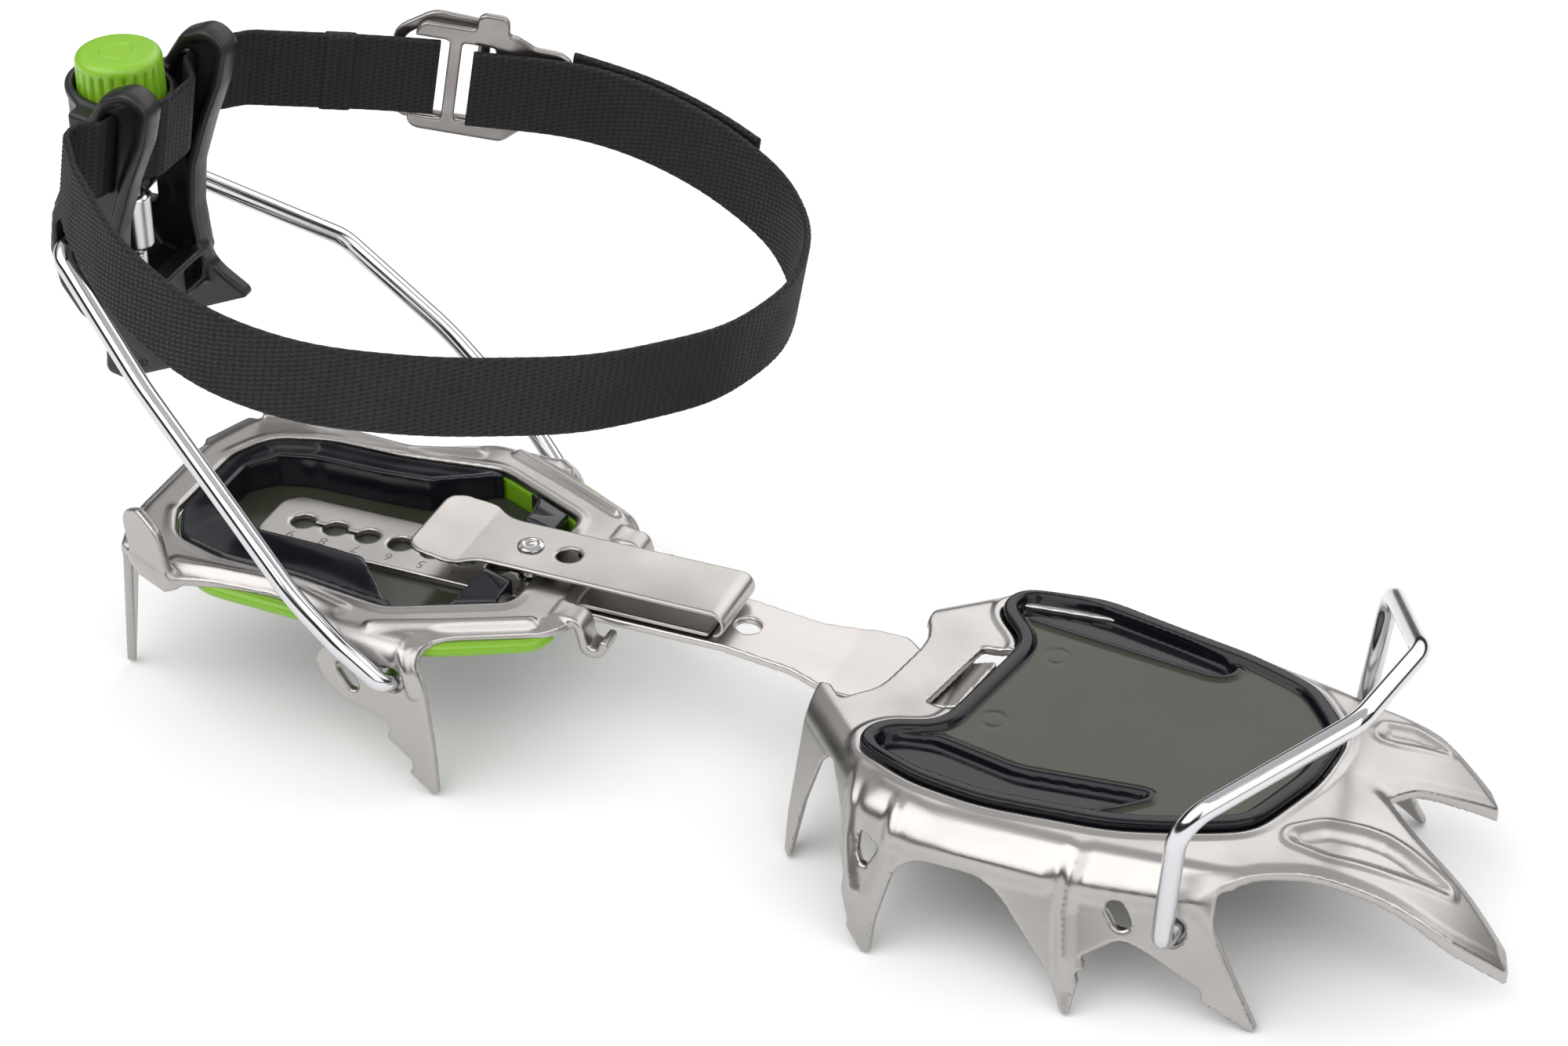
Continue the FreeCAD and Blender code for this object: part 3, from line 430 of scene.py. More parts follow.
def skin(g, field):
    """Points and quads of the surface where a field on the grid is zero."""
    field = np.ascontiguousarray(np.broadcast_to(field, g.shape), np.float32)
    inside = field < 0
    corners = [(i, j, k) for i in (0, 1) for j in (0, 1) for k in (0, 1)]
    nx, ny, nz = (n - 1 for n in g.shape)
    count = sum(inside[i:i + nx, j:j + ny, k:k + nz].astype(np.int8) for i, j, k in corners)
    active = (count > 0) & (count < 8)
    cells = np.argwhere(active)
    index = np.full(active.shape, -1, np.int64)
    index[active] = np.arange(len(cells))
    total, hits = np.zeros((len(cells), 3)), np.zeros(len(cells))
    for start in corners:
        for axis in range(3):
            if start[axis]:
                continue
            end = list(start)
            end[axis] = 1
            a = field[tuple((cells + start).T)]
            b = field[tuple((cells + end).T)]
            cross = (a < 0) != (b < 0)
            share = np.where(cross, a / np.where(cross, a - b, 1), 0)
            total[cross] += (np.array(start, float) + share[:, None] * np.eye(3)[axis])[cross]
            hits += cross
    places = g.low + g.step * (cells + total / hits[:, None])
    faces = []
    for axis in range(3):
        u, v = (axis + 1) % 3, (axis + 2) % 3
        lower, upper = [slice(None)] * 3, [slice(None)] * 3
        lower[axis], upper[axis] = slice(None, -1), slice(1, None)
        at = np.argwhere(inside[tuple(lower)] != inside[tuple(upper)])
        at = at[(at[:, u] > 0) & (at[:, v] > 0) & (at[:, u] < g.shape[u] - 1) & (at[:, v] < g.shape[v] - 1)]
        is_solid = inside[tuple(at.T)]
        step_u, step_v = np.eye(3, dtype=int)[[u, v]]
        ring = np.stack([index[tuple((at - s).T)] for s in (0 * step_u, step_u, step_u + step_v, step_v)], axis=1)
        faces += [ring[is_solid], ring[~is_solid][:, ::-1]]
    return places, np.concatenate(faces)


def solid(name, g, field, *facts, dark=None):
    """A piece from a field; dark gives each point's share of the finish's second tone."""
    places, faces = skin(g, field)
    piece = make_mesh(name, places, faces, *facts)
    if dark is not None:
        second_tone(piece, dark(*places.T))


def lathe_mesh(name, places, sides, *facts):
    """Joins rings of equal count into a closed skin."""
    count = len(places) // sides
    faces = [
        (r * sides + k, r * sides + (k + 1) % sides, (r + 1) * sides + (k + 1) % sides, (r + 1) * sides + k)
        for r in range(count - 1) for k in range(sides)
    ]
    faces.append(tuple(range(sides))[::-1])
    faces.append(tuple(range((count - 1) * sides, count * sides)))
    piece = make_mesh(name, [tuple(p) for p in places], faces, *facts)
    piece.data.set_sharp_from_angle(angle=math.radians(32))


def sweep_tube(name, path, radius, *facts, sides=24):
    """A round wire along closely spaced points, with domed ends."""
    rings, side = [], None
    for i, at in enumerate(path):
        along = (path[min(i + 1, len(path) - 1)] - path[max(i - 1, 0)]).normalized()
        side = (along.orthogonal() if side is None else side - along * side.dot(along)).normalized()
        rings.append((at, along, side, radius))
    dome = [(0.55, 0.27), (0.9, 0.072)]  # each ring's share of the radius, and how many radii it stands out
    (first, ahead, side, _), (last, onward, other, _) = rings[0], rings[-1]
    rings = (
        [(first - ahead * (radius * out), ahead, side, radius * share) for share, out in dome] + rings
        + [(last + onward * (radius * out), onward, other, radius * share) for share, out in reversed(dome)]
    )
    places = []
    for at, along, side, reach in rings:
        across = along.cross(side)
        for k in range(sides):
            angle = 2 * math.pi * k / sides
            places.append(at + (side * math.cos(angle) + across * math.sin(angle)) * reach)
    lathe_mesh(name, places, sides, *facts)


def turned(name, profile, *facts, sides=48, ripple=None):
    """A turned piece from (radius, height) points; ripple changes the radius with angle and height."""
    places = []
    for radius, height in profile:
        for k in range(sides):
            angle = 2 * math.pi * k / sides
            reach = radius if ripple is None else ripple(radius, height, angle)
            places.append((reach * math.cos(angle), reach * math.sin(angle), height))
    lathe_mesh(name, places, sides, *facts)


def route(points, step=0.6):
    """Points along straight runs joined by tangent arcs; each corner is (x, y, z, radius)."""
    made = [Vector(points[0][:3])]
    for before, at, after in zip(points, points[1:], points[2:]):
        centre, start, end, sweep = corner(before[:3], at[:3], after[:3], at[3])
        start, end = start.normalized(), end.normalized()
        count = max(2, round(at[3] * sweep / step))
        made += [centre + start.slerp(end, k / count) * at[3] for k in range(count + 1)]
    made.append(Vector(points[-1][:3]))
    full = []
    for a, b in zip(made, made[1:]):
        count = max(1, round((b - a).length / (step * 3)))
        full += [a.lerp(b, k / count) for k in range(count)]
    full.append(made[-1])
    return [p for i, p in enumerate(full) if i == 0 or (p - full[i - 1]).length > 1e-4]


# -------- toe section

TOE_RIM = [
    (31, 11, 2.5), (27.5, 18, 3), (27.5, 27.5, 5), (40, 38, 8), (56, 41.3, 20), (72, 41, 20), (97, 36.6),
    (122, 31.5, 4), (131, 26.5, 5), (133, 20), (144, 8), (141, -6), (128, -20), (123, -42, 4), (117.5, -49, 3),
    (84, -52), (60, -53, 25), (50, -52, 15), (36, -46.5, 12), (17.5, -28, 6), (20.5, -17, 3), (27, -12, 2.5),
]
TOE_WINDOW = [
    (51.5, 16, 3), (41.5, 26.5, 4), (43, 36, 5), (64.5, 39, 12), (84, 34.3), (102, 30.4, 15), (119, 24, 9),
    (130, 9.5, 8), (128, -9, 15), (119.5, -30.5, 8), (106, -36.5, 15), (91.5, -41.5, 30), (62, -44, 30),
    (46, -41.6, 12), (28, -33.8, 4), (32, -23.8, 5), (44.5, -20, 3),
]
SLOT = [(38.6, -12.5, 1), (43.4, 12, 1), (53, 13.4, 1), (47, -14.2, 1)]
NEAR_TOP = [(17.8, -26.5), (37.5, -47.8), (52, -52.4), (84, -52), (118, -49.2)]
NEAR_FOOT = [(9, -28.5), (33, -58.5), (46, -60.5), (89.7, -63.4), (129, -53.2)]
FAR_TOP = [(130.5, 28.2), (97, 36.6), (70, 41.2), (42, 38.4), (27.8, 26.5)]
FAR_FOOT = [(148, 32.2), (112, 39.8), (66, 49), (41, 50), (24, 32)]
NEAR_POINTS = [
    (14, 38), (12, 8), (12.8, 0, 1), (15, 0, 1), (17.5, 14, 12), (21.5, 27, 6), (25, 31.5, 1.5), (30.4, 25, 4),
    (32.3, 21.2), (32.1, 18.6), (34.7, 15.3), (34.9, 11.5), (37.2, 6.1), (37.4, 4.1), (41.8, 0, 0.6),
    (43.4, 0, 0.6), (44, 7.8, 12), (48, 24.8, 9), (68.5, 24.8, 14), (84.7, 7.7), (89, 0, 0.4), (90.2, 0, 0.4),
    (91.1, 7), (90.3, 9.3), (92, 10.1), (90.9, 12.8), (99, 18, 5), (107.2, 14), (116.8, 8.4), (116.6, 6.1),
    (127.8, 0, 0.4), (129.2, 0, 0.4), (117.5, 22, 12), (117, 38),
]
FAR_POINTS = [
    (29, 38), (24.6, 8), (26, 0), (28, 0), (31, 14), (37, 28, 6), (44, 31), (52, 25, 4), (55.1, 17.2),
    (57.8, 14.5), (58.2, 9.5), (64.2, 0), (65.8, 0), (66.3, 8), (70, 24.8, 8), (90, 24.8, 13), (104.2, 8),
    (109, 0), (110.4, 0), (111.2, 7.5), (110, 11.5), (118, 18, 5), (125, 14), (133, 8.4), (133, 6.1),
    (143.2, 0), (144.8, 0), (134, 22, 11), (133.5, 38),
]
NEAR_TEAR = [(37.6, 26.6, 1.2), (37.7, 21, 1.2), (39.8, 17.6, 1), (42.8, 24, 1.2)]
NEAR_OVAL = [(94, 24.6, 1.8), (97, 27, 1.8), (100.9, 21.4, 1.8), (98.2, 18.6, 1.8)]
FAR_TEAR = [(55.8, 26, 1.2), (57.2, 20, 1.2), (59.4, 16.6, 1), (61.6, 23, 1.2)]
PRIMARY = [
    (118, -46), (134, -38.7, 20), (149, -36.3), (165, -34.6, 20), (176.5, -27.8, 2), (174.5, -22.4, 1),
    (165, -17.3, 30), (151.5, -12, 30), (141, -3.5), (118, -3.5),
]
SECONDARY = [
    (118, -6), (143, -2), (147, 3.5, 3), (154.5, 8.5, 30), (163.6, 15.4, 1), (160.6, 19, 1), (147.4, 25.5, 20),
    (131, 26.8), (118, 26.8),
]
TOE_PIVOT = Vector((108.0, -57.0, 21.0))
TOE_TURN = rotation(-11.7, "Z") @ rotation(1.7, "X")
TOE_SPAN = 93.5  # between the toe bail's hooks
FRONT_BEND = 125.0  # where the front points begin to curve down
FLANGE_RISE = 34.0  # from the ground to where the flanges' upper outline is given
# Ribs pressed outward in the near flange, seen from the side: height, width, line.
NEAR_RIBS = [
    (1.3, 3.2, [(86.5, 34), (86.3, 22), (88.5, 7)]), (1.0, 4.5, [(47, 28.5), (80, 28.5)]),
    (0.9, 4.2, [(90.5, 28.5), (114, 28.5), (118, 24)]), (1.0, 2.6, [(45.5, 33), (44.2, 22), (41.5, 10)]),
    (0.9, 2.4, [(33.5, 33), (34.3, 24), (37.5, 13)]),
]
# Recesses pressed into the two front points.
PRIMARY_RECESS = [
    (124, -30, 2.4), (133, -22, 7), (146, -18.5, 18), (163, -22, 1), (150, -27.5, 20), (136, -31.5, 10),
]
SECONDARY_RECESS = [(134.5, 13.5, 1.5), (139.5, 14.5, 5), (151.5, 20.5, 0.6), (142, 21, 5), (136, 18.5, 1.5)]


def fallen(x, rate, power):
    """How far the front has curved down at x, and how steep it is there."""
    reach = np.maximum(x - FRONT_BEND, 0)
    return rate * reach ** power, rate * power * reach ** (power - 1)


def leaning(top, foot, level):
    """A line that moves with height between its place at the deck and on the ground."""
    share = level / FLANGE_RISE
    return [(f[0] + (t[0] - f[0]) * share, f[1] + (t[1] - f[1]) * share) for t, f in zip(top, foot)]


def toe_plate(finish):
    g, x, y, z = grid((3, -68, -1.5), (183, 54, 39.5), PLATE_STEP)
    near = leaning([(-2, -5), *NEAR_TOP, (250, -38)], [(-11, -7), *NEAR_FOOT, (250, -38)], z)
    far = leaning([(250, 40), *FAR_TOP, (2, 5)], [(250, 40), *FAR_FOOT, (-3, 8)], z)
    flank = polygon(x, y, near + far) * 0.96
    flank = soften(soften(flank, 4, 0), 3, 1)
    flank = flank - beads(x, z, NEAR_RIBS) * (y < 0) * ease(z, 4, 14)

    split = ease(y, -8, 0)
    one, two = fallen(x, 0.00323, 2.25), fallen(x, 0.0092, 2.0)
    drop, slope = (a * (1 - split) + b * split for a, b in zip(one, two))
    top = TOE_DECK - drop

    # Each recess has a lip round it.
    one, two = shape(x, y, PRIMARY_RECESS), shape(x, y, SECONDARY_RECESS)
    top = top - 1.9 * ease(-one, 0, 3.2) + 0.5 * swell(one - 1.2, 1.6)
    top = top - 1.3 * ease(-two, 0, 2.2) + 0.4 * swell(two - 1.0, 1.4)
    # The deck has a low bead round the guard and falls a little to its free edges.
    window = flow(x, y, TOE_WINDOW, 5)
    top = top + 0.5 * swell(window - 1.2, 1.8)
    plan = blend_either(flow(x, y, TOE_RIM, 5), shape(x, y, PRIMARY), 4)
    plan = blend_either(plan, shape(x, y, SECONDARY), 3)
    top = top - 0.8 * ease(-plan, 3.0, 0.0) * ease(x, 54, 62)

    deck = (z - top) / np.sqrt(1 + slope * slope)
    outer = round_both(flank, deck, 5.5)
    sheet = both(outer, -(outer + STEEL + 1.1 * ease(x, 148, 172)))
    on_deck = round_both(both(plan, -window, -shape(x, y, SLOT)), (top - 3.6) - z, 0.2)

    holes = [TOE_PIVOT + TOE_TURN.to_3x3() @ Vector((0, across, 0)) for across in (4, TOE_SPAN - 4)]
    near_hole, far_hole = (disc(x, z, at.x, at.z, WIRE_HOLE) for at in holes)
    near_side = shape(x, z, NEAR_POINTS, shape(x, z, NEAR_TEAR), shape(x, z, NEAR_OVAL), near_hole)
    far_side = shape(x, z, FAR_POINTS, shape(x, z, FAR_TEAR), far_hole)
    edge_band = -(flank + 7.0)
    sides = either(both(near_side, y + 14, edge_band), both(far_side, 14 - y, edge_band))
    kept = blend_either(on_deck, sides, 1.5)
    field = round_both(sheet, kept, 0.3)
    solid("toe_plate_stamped", g, field, finish.plate, "toe_section", "plate_steel", ["toe_plate"])


TOE_BASE = [
    (53, 14, 3), (38.5, 27.5, 5), (42, 35.5, 5), (64, 36.5, 12), (97, 31.5), (121, 25, 9), (129.5, 9.5, 8),
    (127, -9, 15), (118, -32, 10), (106, -38, 15), (90, -43, 30), (62, -45.5, 30), (46, -43, 12),
    (27, -33.8, 4), (31, -23, 5), (50.5, -17, 3),
]
NEAR_WELL = [
    (33.5, -33, 2), (34.5, -28, 2), (46, -26), (66, -30.5), (96, -27.5), (86, -36.5), (62, -40, 20), (46, -38, 9),
]
FAR_WELL = [(45, 27.5, 2), (46.5, 34, 2), (60, 35.5), (84, 30.5), (101, 25.5, 2), (97, 20.5, 2), (66, 24.5)]
EJECTORS = [(60.4, 14.0), (55.1, -14.2)]  # round marks of the mould


def toe_wells(x, y):
    return either(flow(x, y, NEAR_WELL, 3), flow(x, y, FAR_WELL, 3))


def toe_guard(finish):
    g, x, y, z = grid((24, -49, 26.5), (134, 43, 39.5), 0.45)
    outline = flow(x, y, TOE_WINDOW, 5) + 0.3
    wells = toe_wells(x, y)
    top = 35.5 + 1.5 * ease(-outline, 4.4, 2.8)
    top = top - 1.9 * ease(-wells, -0.6, 1.0) + 0.6 * swell(wells - 1.4, 2.0) * ease(-outline, 3.5, 6)
    for at_x, at_y in EJECTORS:
        top = top - 0.16 * swell(disc(x, y, at_x, at_y, 2.8), 0.9)
    slab = both(round_both(outline, z - top, 0.9), 32.3 - z)

    def dark(px, py, pz):
        rim = -flow(px, py, TOE_WINDOW, 5) - 0.3
        return np.maximum(ease(rim, 4.6, 4.0), ease(toe_wells(px, py), 2.6, 1.6))

    solid("toe_cover_smoked", g, slab, finish.smoke, "toe_section", "guard_smoke", ["toe_guard_cover"], dark=dark)

    base = shape(x, y, TOE_BASE)
    tray = both(prism(base, z, 27.4, 32.2, 0.8), -both(base + 4, 29.0 - z))
    # The tray is painted darker from z 30.4 down, as shade on its underside.
    solid("toe_base_tray", g, tray, finish.lime, "toe_section", "guard_lime", ["toe_guard_base"],
          dark=lambda px, py, pz: ease(pz, 30.4, 29.2))


# -------- bails

BAIL_HOOK = 6.5  # how far each end reaches through its hole
HEEL_BAIL_RISE = math.radians(43.0)
HEEL_PIVOT_X, HEEL_PIVOT_Z = -78.7, 30.5


def toe_bail(finish):
    corners = [
        (0, BAIL_HOOK, 0, 0), (0, 0, 0, 3.6), (4.8, -4.2, 37, 10), (27.3, 29.9, 50.8, 10), (27.3, 58.7, 50.8, 10),
        (4.8, 92.8, 37, 10), (0, TOE_SPAN, 0, 3.6), (0, TOE_SPAN - BAIL_HOOK, 0, 0),
    ]
    place = Matrix.Translation(TOE_PIVOT) @ TOE_TURN
    sweep_tube("toe_bail_wire", route(corners), WIRE, finish.chrome, "toe_bail", "bail_chrome", ["toe_bail"], place)


def heel_bail(finish):
    reach, leg = 120.7, 48.0

    def at(across, along, radius=0):
        x, z = HEEL_PIVOT_X - math.cos(HEEL_BAIL_RISE) * along, HEEL_PIVOT_Z + math.sin(HEEL_BAIL_RISE) * along
        return (x, across, z, radius)

    corners = [
        at(-leg + BAIL_HOOK, 0), at(-leg, 0, 3.6), at(-49.6, 14, 30), at(-49.4, 28, 60), at(-37.2, 86, 80),
        at(-26.5, reach, 5), at(20.5, reach, 5), at(49.5, 79, 12), at(53.9, 45, 60), at(52.4, 14, 60),
        at(leg, 0, 3.6), at(leg - BAIL_HOOK, 0),
    ]
    sweep_tube("heel_bail_wire", route(corners), WIRE, finish.chrome, "heel_bail", "bail_chrome", ["heel_bail"])


# -------- centre bar

BAR_PLAN = [
    (-134, 6.5, 4), (-130.5, 10, 3), (5, 10, 12), (17, 13.6, 4), (25, 13.6, 4), (30, 9.2, 3), (48.4, 9.2, 1.5),
    (44.8, -9.2, 1.5), (30, -9.2, 3), (25, -13.6, 4), (17, -13.6, 4), (5, -10, 12), (-130.5, -10, 3),
    (-134, -6.5, 4),
]
BAR_SIDE = [(-140, 34), (-12, 34), (14, 30.9), (41.5, 30.9), (52, 34.3)]
HOLE_PITCH, HOLE = 8.65, 2.95
BAR_THICK = 2.0
SIZE_HOLES = [LOCK_X + HOLE_PITCH * (1 - k) for k in range(9)]


def centre_bar(finish):
    g, x, y, z = grid((-136, -16, 28), (52, 16, 38), 0.45)
    plan = shape(x, y, BAR_PLAN, disc(x, y, -9.6, 0, 3.0))
    for k, hole_x in enumerate(SIZE_HOLES):
        plan = both(plan, -disc(x, y, hole_x, 0, HOLE))
        if k % 3:  # a slot joins this hole to the one ahead
            plan = both(plan, -both(np.abs(x - hole_x - HOLE_PITCH / 2) - HOLE_PITCH / 2, np.abs(y) - 0.6))
    field = round_both(plan, stroke(x, z, BAR_SIDE) - BAR_THICK / 2, 0.35)
    solid("size_bar", g, field, finish.bar, "bar", "plate_steel", ["centre_bar"])

    builder = bmesh.new()
    for k, hole_x in enumerate(SIZE_HOLES):
        curve = bpy.data.curves.new("mark", "FONT")
        curve.body = str(k + 1)
        curve.size = 4.2 * MM
        curve.extrude = 0.02 * MM
        curve.offset = -0.03 * MM
        curve.align_x = curve.align_y = "CENTER"
        mark = new_object("mark", curve)
        mark.location = Vector((hole_x + SHIFT.x, -6.2 + SHIFT.y, 35.0)) * MM
        mark.rotation_euler = (0, 0, math.radians(180))
        bpy.context.view_layer.update()
        part = bpy.data.meshes.new_from_object(mark.evaluated_get(bpy.context.evaluated_depsgraph_get()))
        part.transform(mark.matrix_world)
        builder.from_mesh(part)
        bpy.data.objects.remove(mark)
    numbers = built_object("size_numbers", builder, finish.mark)
    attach(numbers, "bar")


# -------- heel section

HEEL_RIM = mirrored([
    (-161.2, 15.5, 5), (-155.2, 31.8, 4), (-140, 38.9, 6), (-131, 36, 10), (-112, 34.6, 12),
    (-98.5, 41, 8), (-92.5, 47), (-74.3, 47, 4), (-71.5, 37, 8), (-50, 26.5, 5), (-45, 20.2, 4), (-45, 13.2),
    (-47.5, 12, 1),
])
HEEL_WINDOW = mirrored([
    (-151.5, 12.5, 5), (-146, 23.5, 8), (-132, 27.8, 12), (-112, 28, 12), (-87, 31.5, 5), (-69, 23, 4),
    (-60.5, 19, 1.5),
])
HEEL_POINT = [
    (-93, 41), (-98.2, 31), (-96.6, 26.8), (-92.5, 22, 3), (-80.6, 18.1), (-80.3, 15.5), (-80.9, 13.5),
    (-75, 8.5), (-74.8, 6.6), (-75.6, 4.8), (-69.8, 0, 0.5), (-68.6, 0.8), (-69.1, 13), (-71, 31, 10),
    (-74.3, 39, 5), (-74.3, 41),
]
HEEL_SLOT = [(-93.6, 31, 1.4), (-90.4, 32.6, 1.4), (-86.8, 26, 1.4), (-89, 24, 1.2)]
EAR = [(-5, 34), (-9.2, 50, 5), (-2, 53, 3), (5, 50, 5), (9.5, 36), (6.5, 34)]
HOOK = [
    (-50, 40), (-42.6, 40, 3.5), (-41.2, 33, 1.2), (-39, 32.6, 1.0), (-37.9, 35.6, 0.8), (-35.9, 34.9, 0.8),
    (-37.6, 30.2, 3), (-42.9, 30.4, 2.6), (-44.6, 37.8, 1.5), (-50, 37.8),
]
REAR_POINT = [(-6.8, 39), (-4.2, 20), (-2.2, 0, 0.6), (-0.6, 0, 0.6), (2.8, 18), (6.6, 39)]
HEEL_DECK_RIBS = [
    (1.3, 2.5, [(-86, 39.5), (-70, 32.6), (-53, 24.6)]), (0.9, 3.0, [(-140, 33.2), (-112, 31.4), (-96, 36)]),
]
HEEL_SIDE_RIBS = [(0.5, 4.0, [(-92, 36), (-84, 33.5), (-78.5, 35)]), (1.2, 2.4, [(-76, 38), (-73.2, 28)])]


def plate_frame(axes, at, yaw, lean=0.0):
    """A point's along, across and height in the frame of an upright plate."""
    turn = (rotation(yaw, "Z", 3) @ rotation(lean, "X", 3)).transposed()
    dx, dy, dz = (axis - start for axis, start in zip(axes, at))
    return [row[0] * dx + row[1] * dy + row[2] * dz for row in turn]


def heel_plate(finish):
    g, x, y, z = grid((-168, -51, -1.5), (-34, 51, 55), PLATE_STEP)
    across = np.abs(y)
    window = flow(x, y, HEEL_WINDOW, 4)
    rim = flow(x, y, HEEL_RIM, 4)
    top = HEEL_DECK + 0.5 * swell(window - 1.3, 2.0) * ease(across, 11, 15)
    top = top - 1.2 * ease(-rim, 3.6, 0.0)
    top = top + beads(x, across, HEEL_DECK_RIBS)
    flank = across - 45.0 - beads(x, z, HEEL_SIDE_RIBS)
    outer = round_both(flank, z - top, 6.0)
    sheet = both(outer, -(outer + STEEL))
    on_deck = both(rim, -window, 35.6 - z)
    on_side = shape(x, z, HEEL_POINT, shape(x, z, HEEL_SLOT), disc(x, z, HEEL_PIVOT_X, HEEL_PIVOT_Z, WIRE_HOLE))
    on_side = both(on_side, 37.5 - across)
    field = round_both(sheet, blend_either(on_deck, on_side, 1.5), 0.3)
    for sign in (-1, 1):
        u, v, w = plate_frame((x, y, z), (-146.6, sign * 34.6, 0), sign * 24.5)
        ear = round_both(shape(u, w, EAR), np.abs(v) - STEEL / 2, 0.5)
        field = blend_either(field, ear, 2.2)
        u, v, w = plate_frame((x, y, z), (-161.2, sign * 25.2, 0.1), sign * 69, sign * 5.5)
        point = round_both(shape(u, w, REAR_POINT), np.abs(v) - STEEL / 2, 0.45)
        field = blend_either(field, point, 2.5)
        hook = round_both(shape(x, z, HOOK), np.abs(y - sign * 16.75) - 3.25, 0.5)
        field = blend_either(field, hook, 0.8)
    solid("heel_plate_stamped", g, field, finish.plate, "heel_section", "plate_steel", ["heel_plate"])


HEEL_BASE = mirrored([
    (-152.5, 12, 6), (-146, 26, 8), (-132, 36.5, 10), (-112, 37.4, 12), (-98.5, 38, 8), (-92, 41, 3),
    (-76, 41, 3), (-68, 37.8, 6), (-50, 28.5, 5), (-47.2, 22, 3), (-50, 19, 3), (-62, 12, 1),
])
INSERT_WELL = mirrored([
    (-144.5, 8.5, 4), (-139, 14, 5), (-130, 16.2, 8), (-112, 16.4, 10), (-99, 17.5, 2), (-88, 28.5), (-74, 24),
    (-71.5, 13.5),
])
BAR_ROOM = 10.8  # half the width that the guard leaves free for the bar


def heel_guard(finish):
    g, x, y, z = grid((-155, -43, 27), (-44, 43, 44), 0.55)
    across = np.abs(y)
    window = flow(x, y, HEEL_WINDOW, 4)
    skirt = flow(x, y, HEEL_BASE, 4)
    base = blend_either(prism(skirt, z, 34.3, 37.5, 1.4), prism(skirt + 6.5, z, 29.5, 37.5, 2.5), 2.0)
    channel = both(across - BAR_ROOM, -66 - x, 32.5 - z)
    base = both(base, -both(window + 0.3, 30.5 - z), -channel)
    # The base is painted darker from z 32.6 down, as shade on its underside.
    solid("heel_base_lime", g, base, finish.lime, "heel_section", "guard_lime", ["heel_guard_base"],
          dark=lambda px, py, pz: ease(pz, 32.6, 31.2))

    inner = either(shape(x, y, INSERT_WELL), both(across - BAR_ROOM, -75 - x))
    # The side rims rise toward the well and end in slanted faces short of the front.
    top = 40.2 + 2.1 * ease(-window, 1.0, 12.0) - 0.9 * ease(-window, 1.6, 0.4)
    rims = both(round_both(round_both(window + 0.6, -inner, 0.7), z - top, 0.8), 33.0 - z)
    lime_gap = both(np.abs(x + 146.5) - 5.0, np.abs(y - 16.5) - 4.0, z - 39.5)
    sides = both(round_both(rims, x + 92 - (across - 24) * 1.1, 0.8), -lime_gap)
    posts = both(round_both(rims, -76.5 - x, 0.8), x + 64)
    solid("heel_rims_black", g, either(sides, posts), finish.black, "heel_section", "guard_smoke")
    floor = both(prism(window + 0.5, z, 30.8, 33.2, 0.5), -channel)
    solid("heel_floor_smoked", g, floor, finish.smoke, "heel_section", "guard_smoke", ["heel_guard_insert"],
          dark=lambda px, py, pz: 0 * px)


# -------- lock spring

LEAF_PLAN = [
    (-91, 12.6, 4.5), (-79, 13.2, 6), (-74, 9.4, 8), (-5, 9.5), (-5, -9.5), (-74, -9.4, 8), (-79, -13.2, 6),
    (-91, -12.6, 4.5),
]
CURL_X, CURL_Z, CURL_MID = -15.0, 39.35, 2.95  # the curl's centre, and the radius of the leaf's middle round it
LEAF = 1.0  # the leaf's thickness
LEAF_HALF, LEAF_END = 9.5, -58.5  # half the width of its foot, and where the foot ends


def curl_points(start, end, count=24):
    """Points round the middle of the leaf's curl, by the angle from straight ahead."""
    angles = [math.radians(start + (end - start) * k / count) for k in range(count + 1)]
    return [(CURL_X + CURL_MID * math.cos(angle), CURL_Z + CURL_MID * math.sin(angle)) for angle in angles]


def lock_spring(finish):
    g, x, y, z = grid((-94, -15, 34), (-9, 15, 47), 0.4)
    arm = [(-92.5, CURL_Z + CURL_MID + 1.6), (-78, CURL_Z + CURL_MID)] + curl_points(90, -72)
    lower = [(-16, CURL_Z - CURL_MID), (LEAF_END, CURL_Z - CURL_MID)]
    holes = [disc(x, y, -54.7, 0, 2.9), disc(x, y, LOCK_X, 0, 1.6)]
    upper = round_both(stroke(x, z, arm) - LEAF / 2, shape(x, y, LEAF_PLAN, *holes), 0.35)
    solid("lock_leaf", g, upper, finish.spring, "lock", "spring_steel", ["lock_spring_arm"])
    plan = both(np.abs(y) - LEAF_HALF, LEAF_END - x, x + 14.5)
    under = round_both(stroke(x, z, lower) - LEAF / 2, plan, 0.35)
    solid("lock_leaf_foot", g, under, finish.spring, "heel_section", "spring_steel", ["lock_spring_base"])

    place = Matrix.Translation((LOCK_X, 0, 0))
    profile = [
        (0.3, 35.3), (2.2, 35.3), (2.7, 35.8), (2.7, 41.4), (1.6, 41.4), (1.6, 42.8), (3.0, 42.85), (3.2, 43.05),
        (3.1, 43.3), (2.5, 43.65), (2.1, 43.7), (1.9, 43.5), (1.5, 43.4), (1.1, 43.45), (0.8, 43.6), (0.3, 43.65),
    ]
    turned("lock_pin_riveted", profile, finish.hardware, "lock", "hardware_steel", ["lock_pin"], place)


# -------- nut, screw and knob


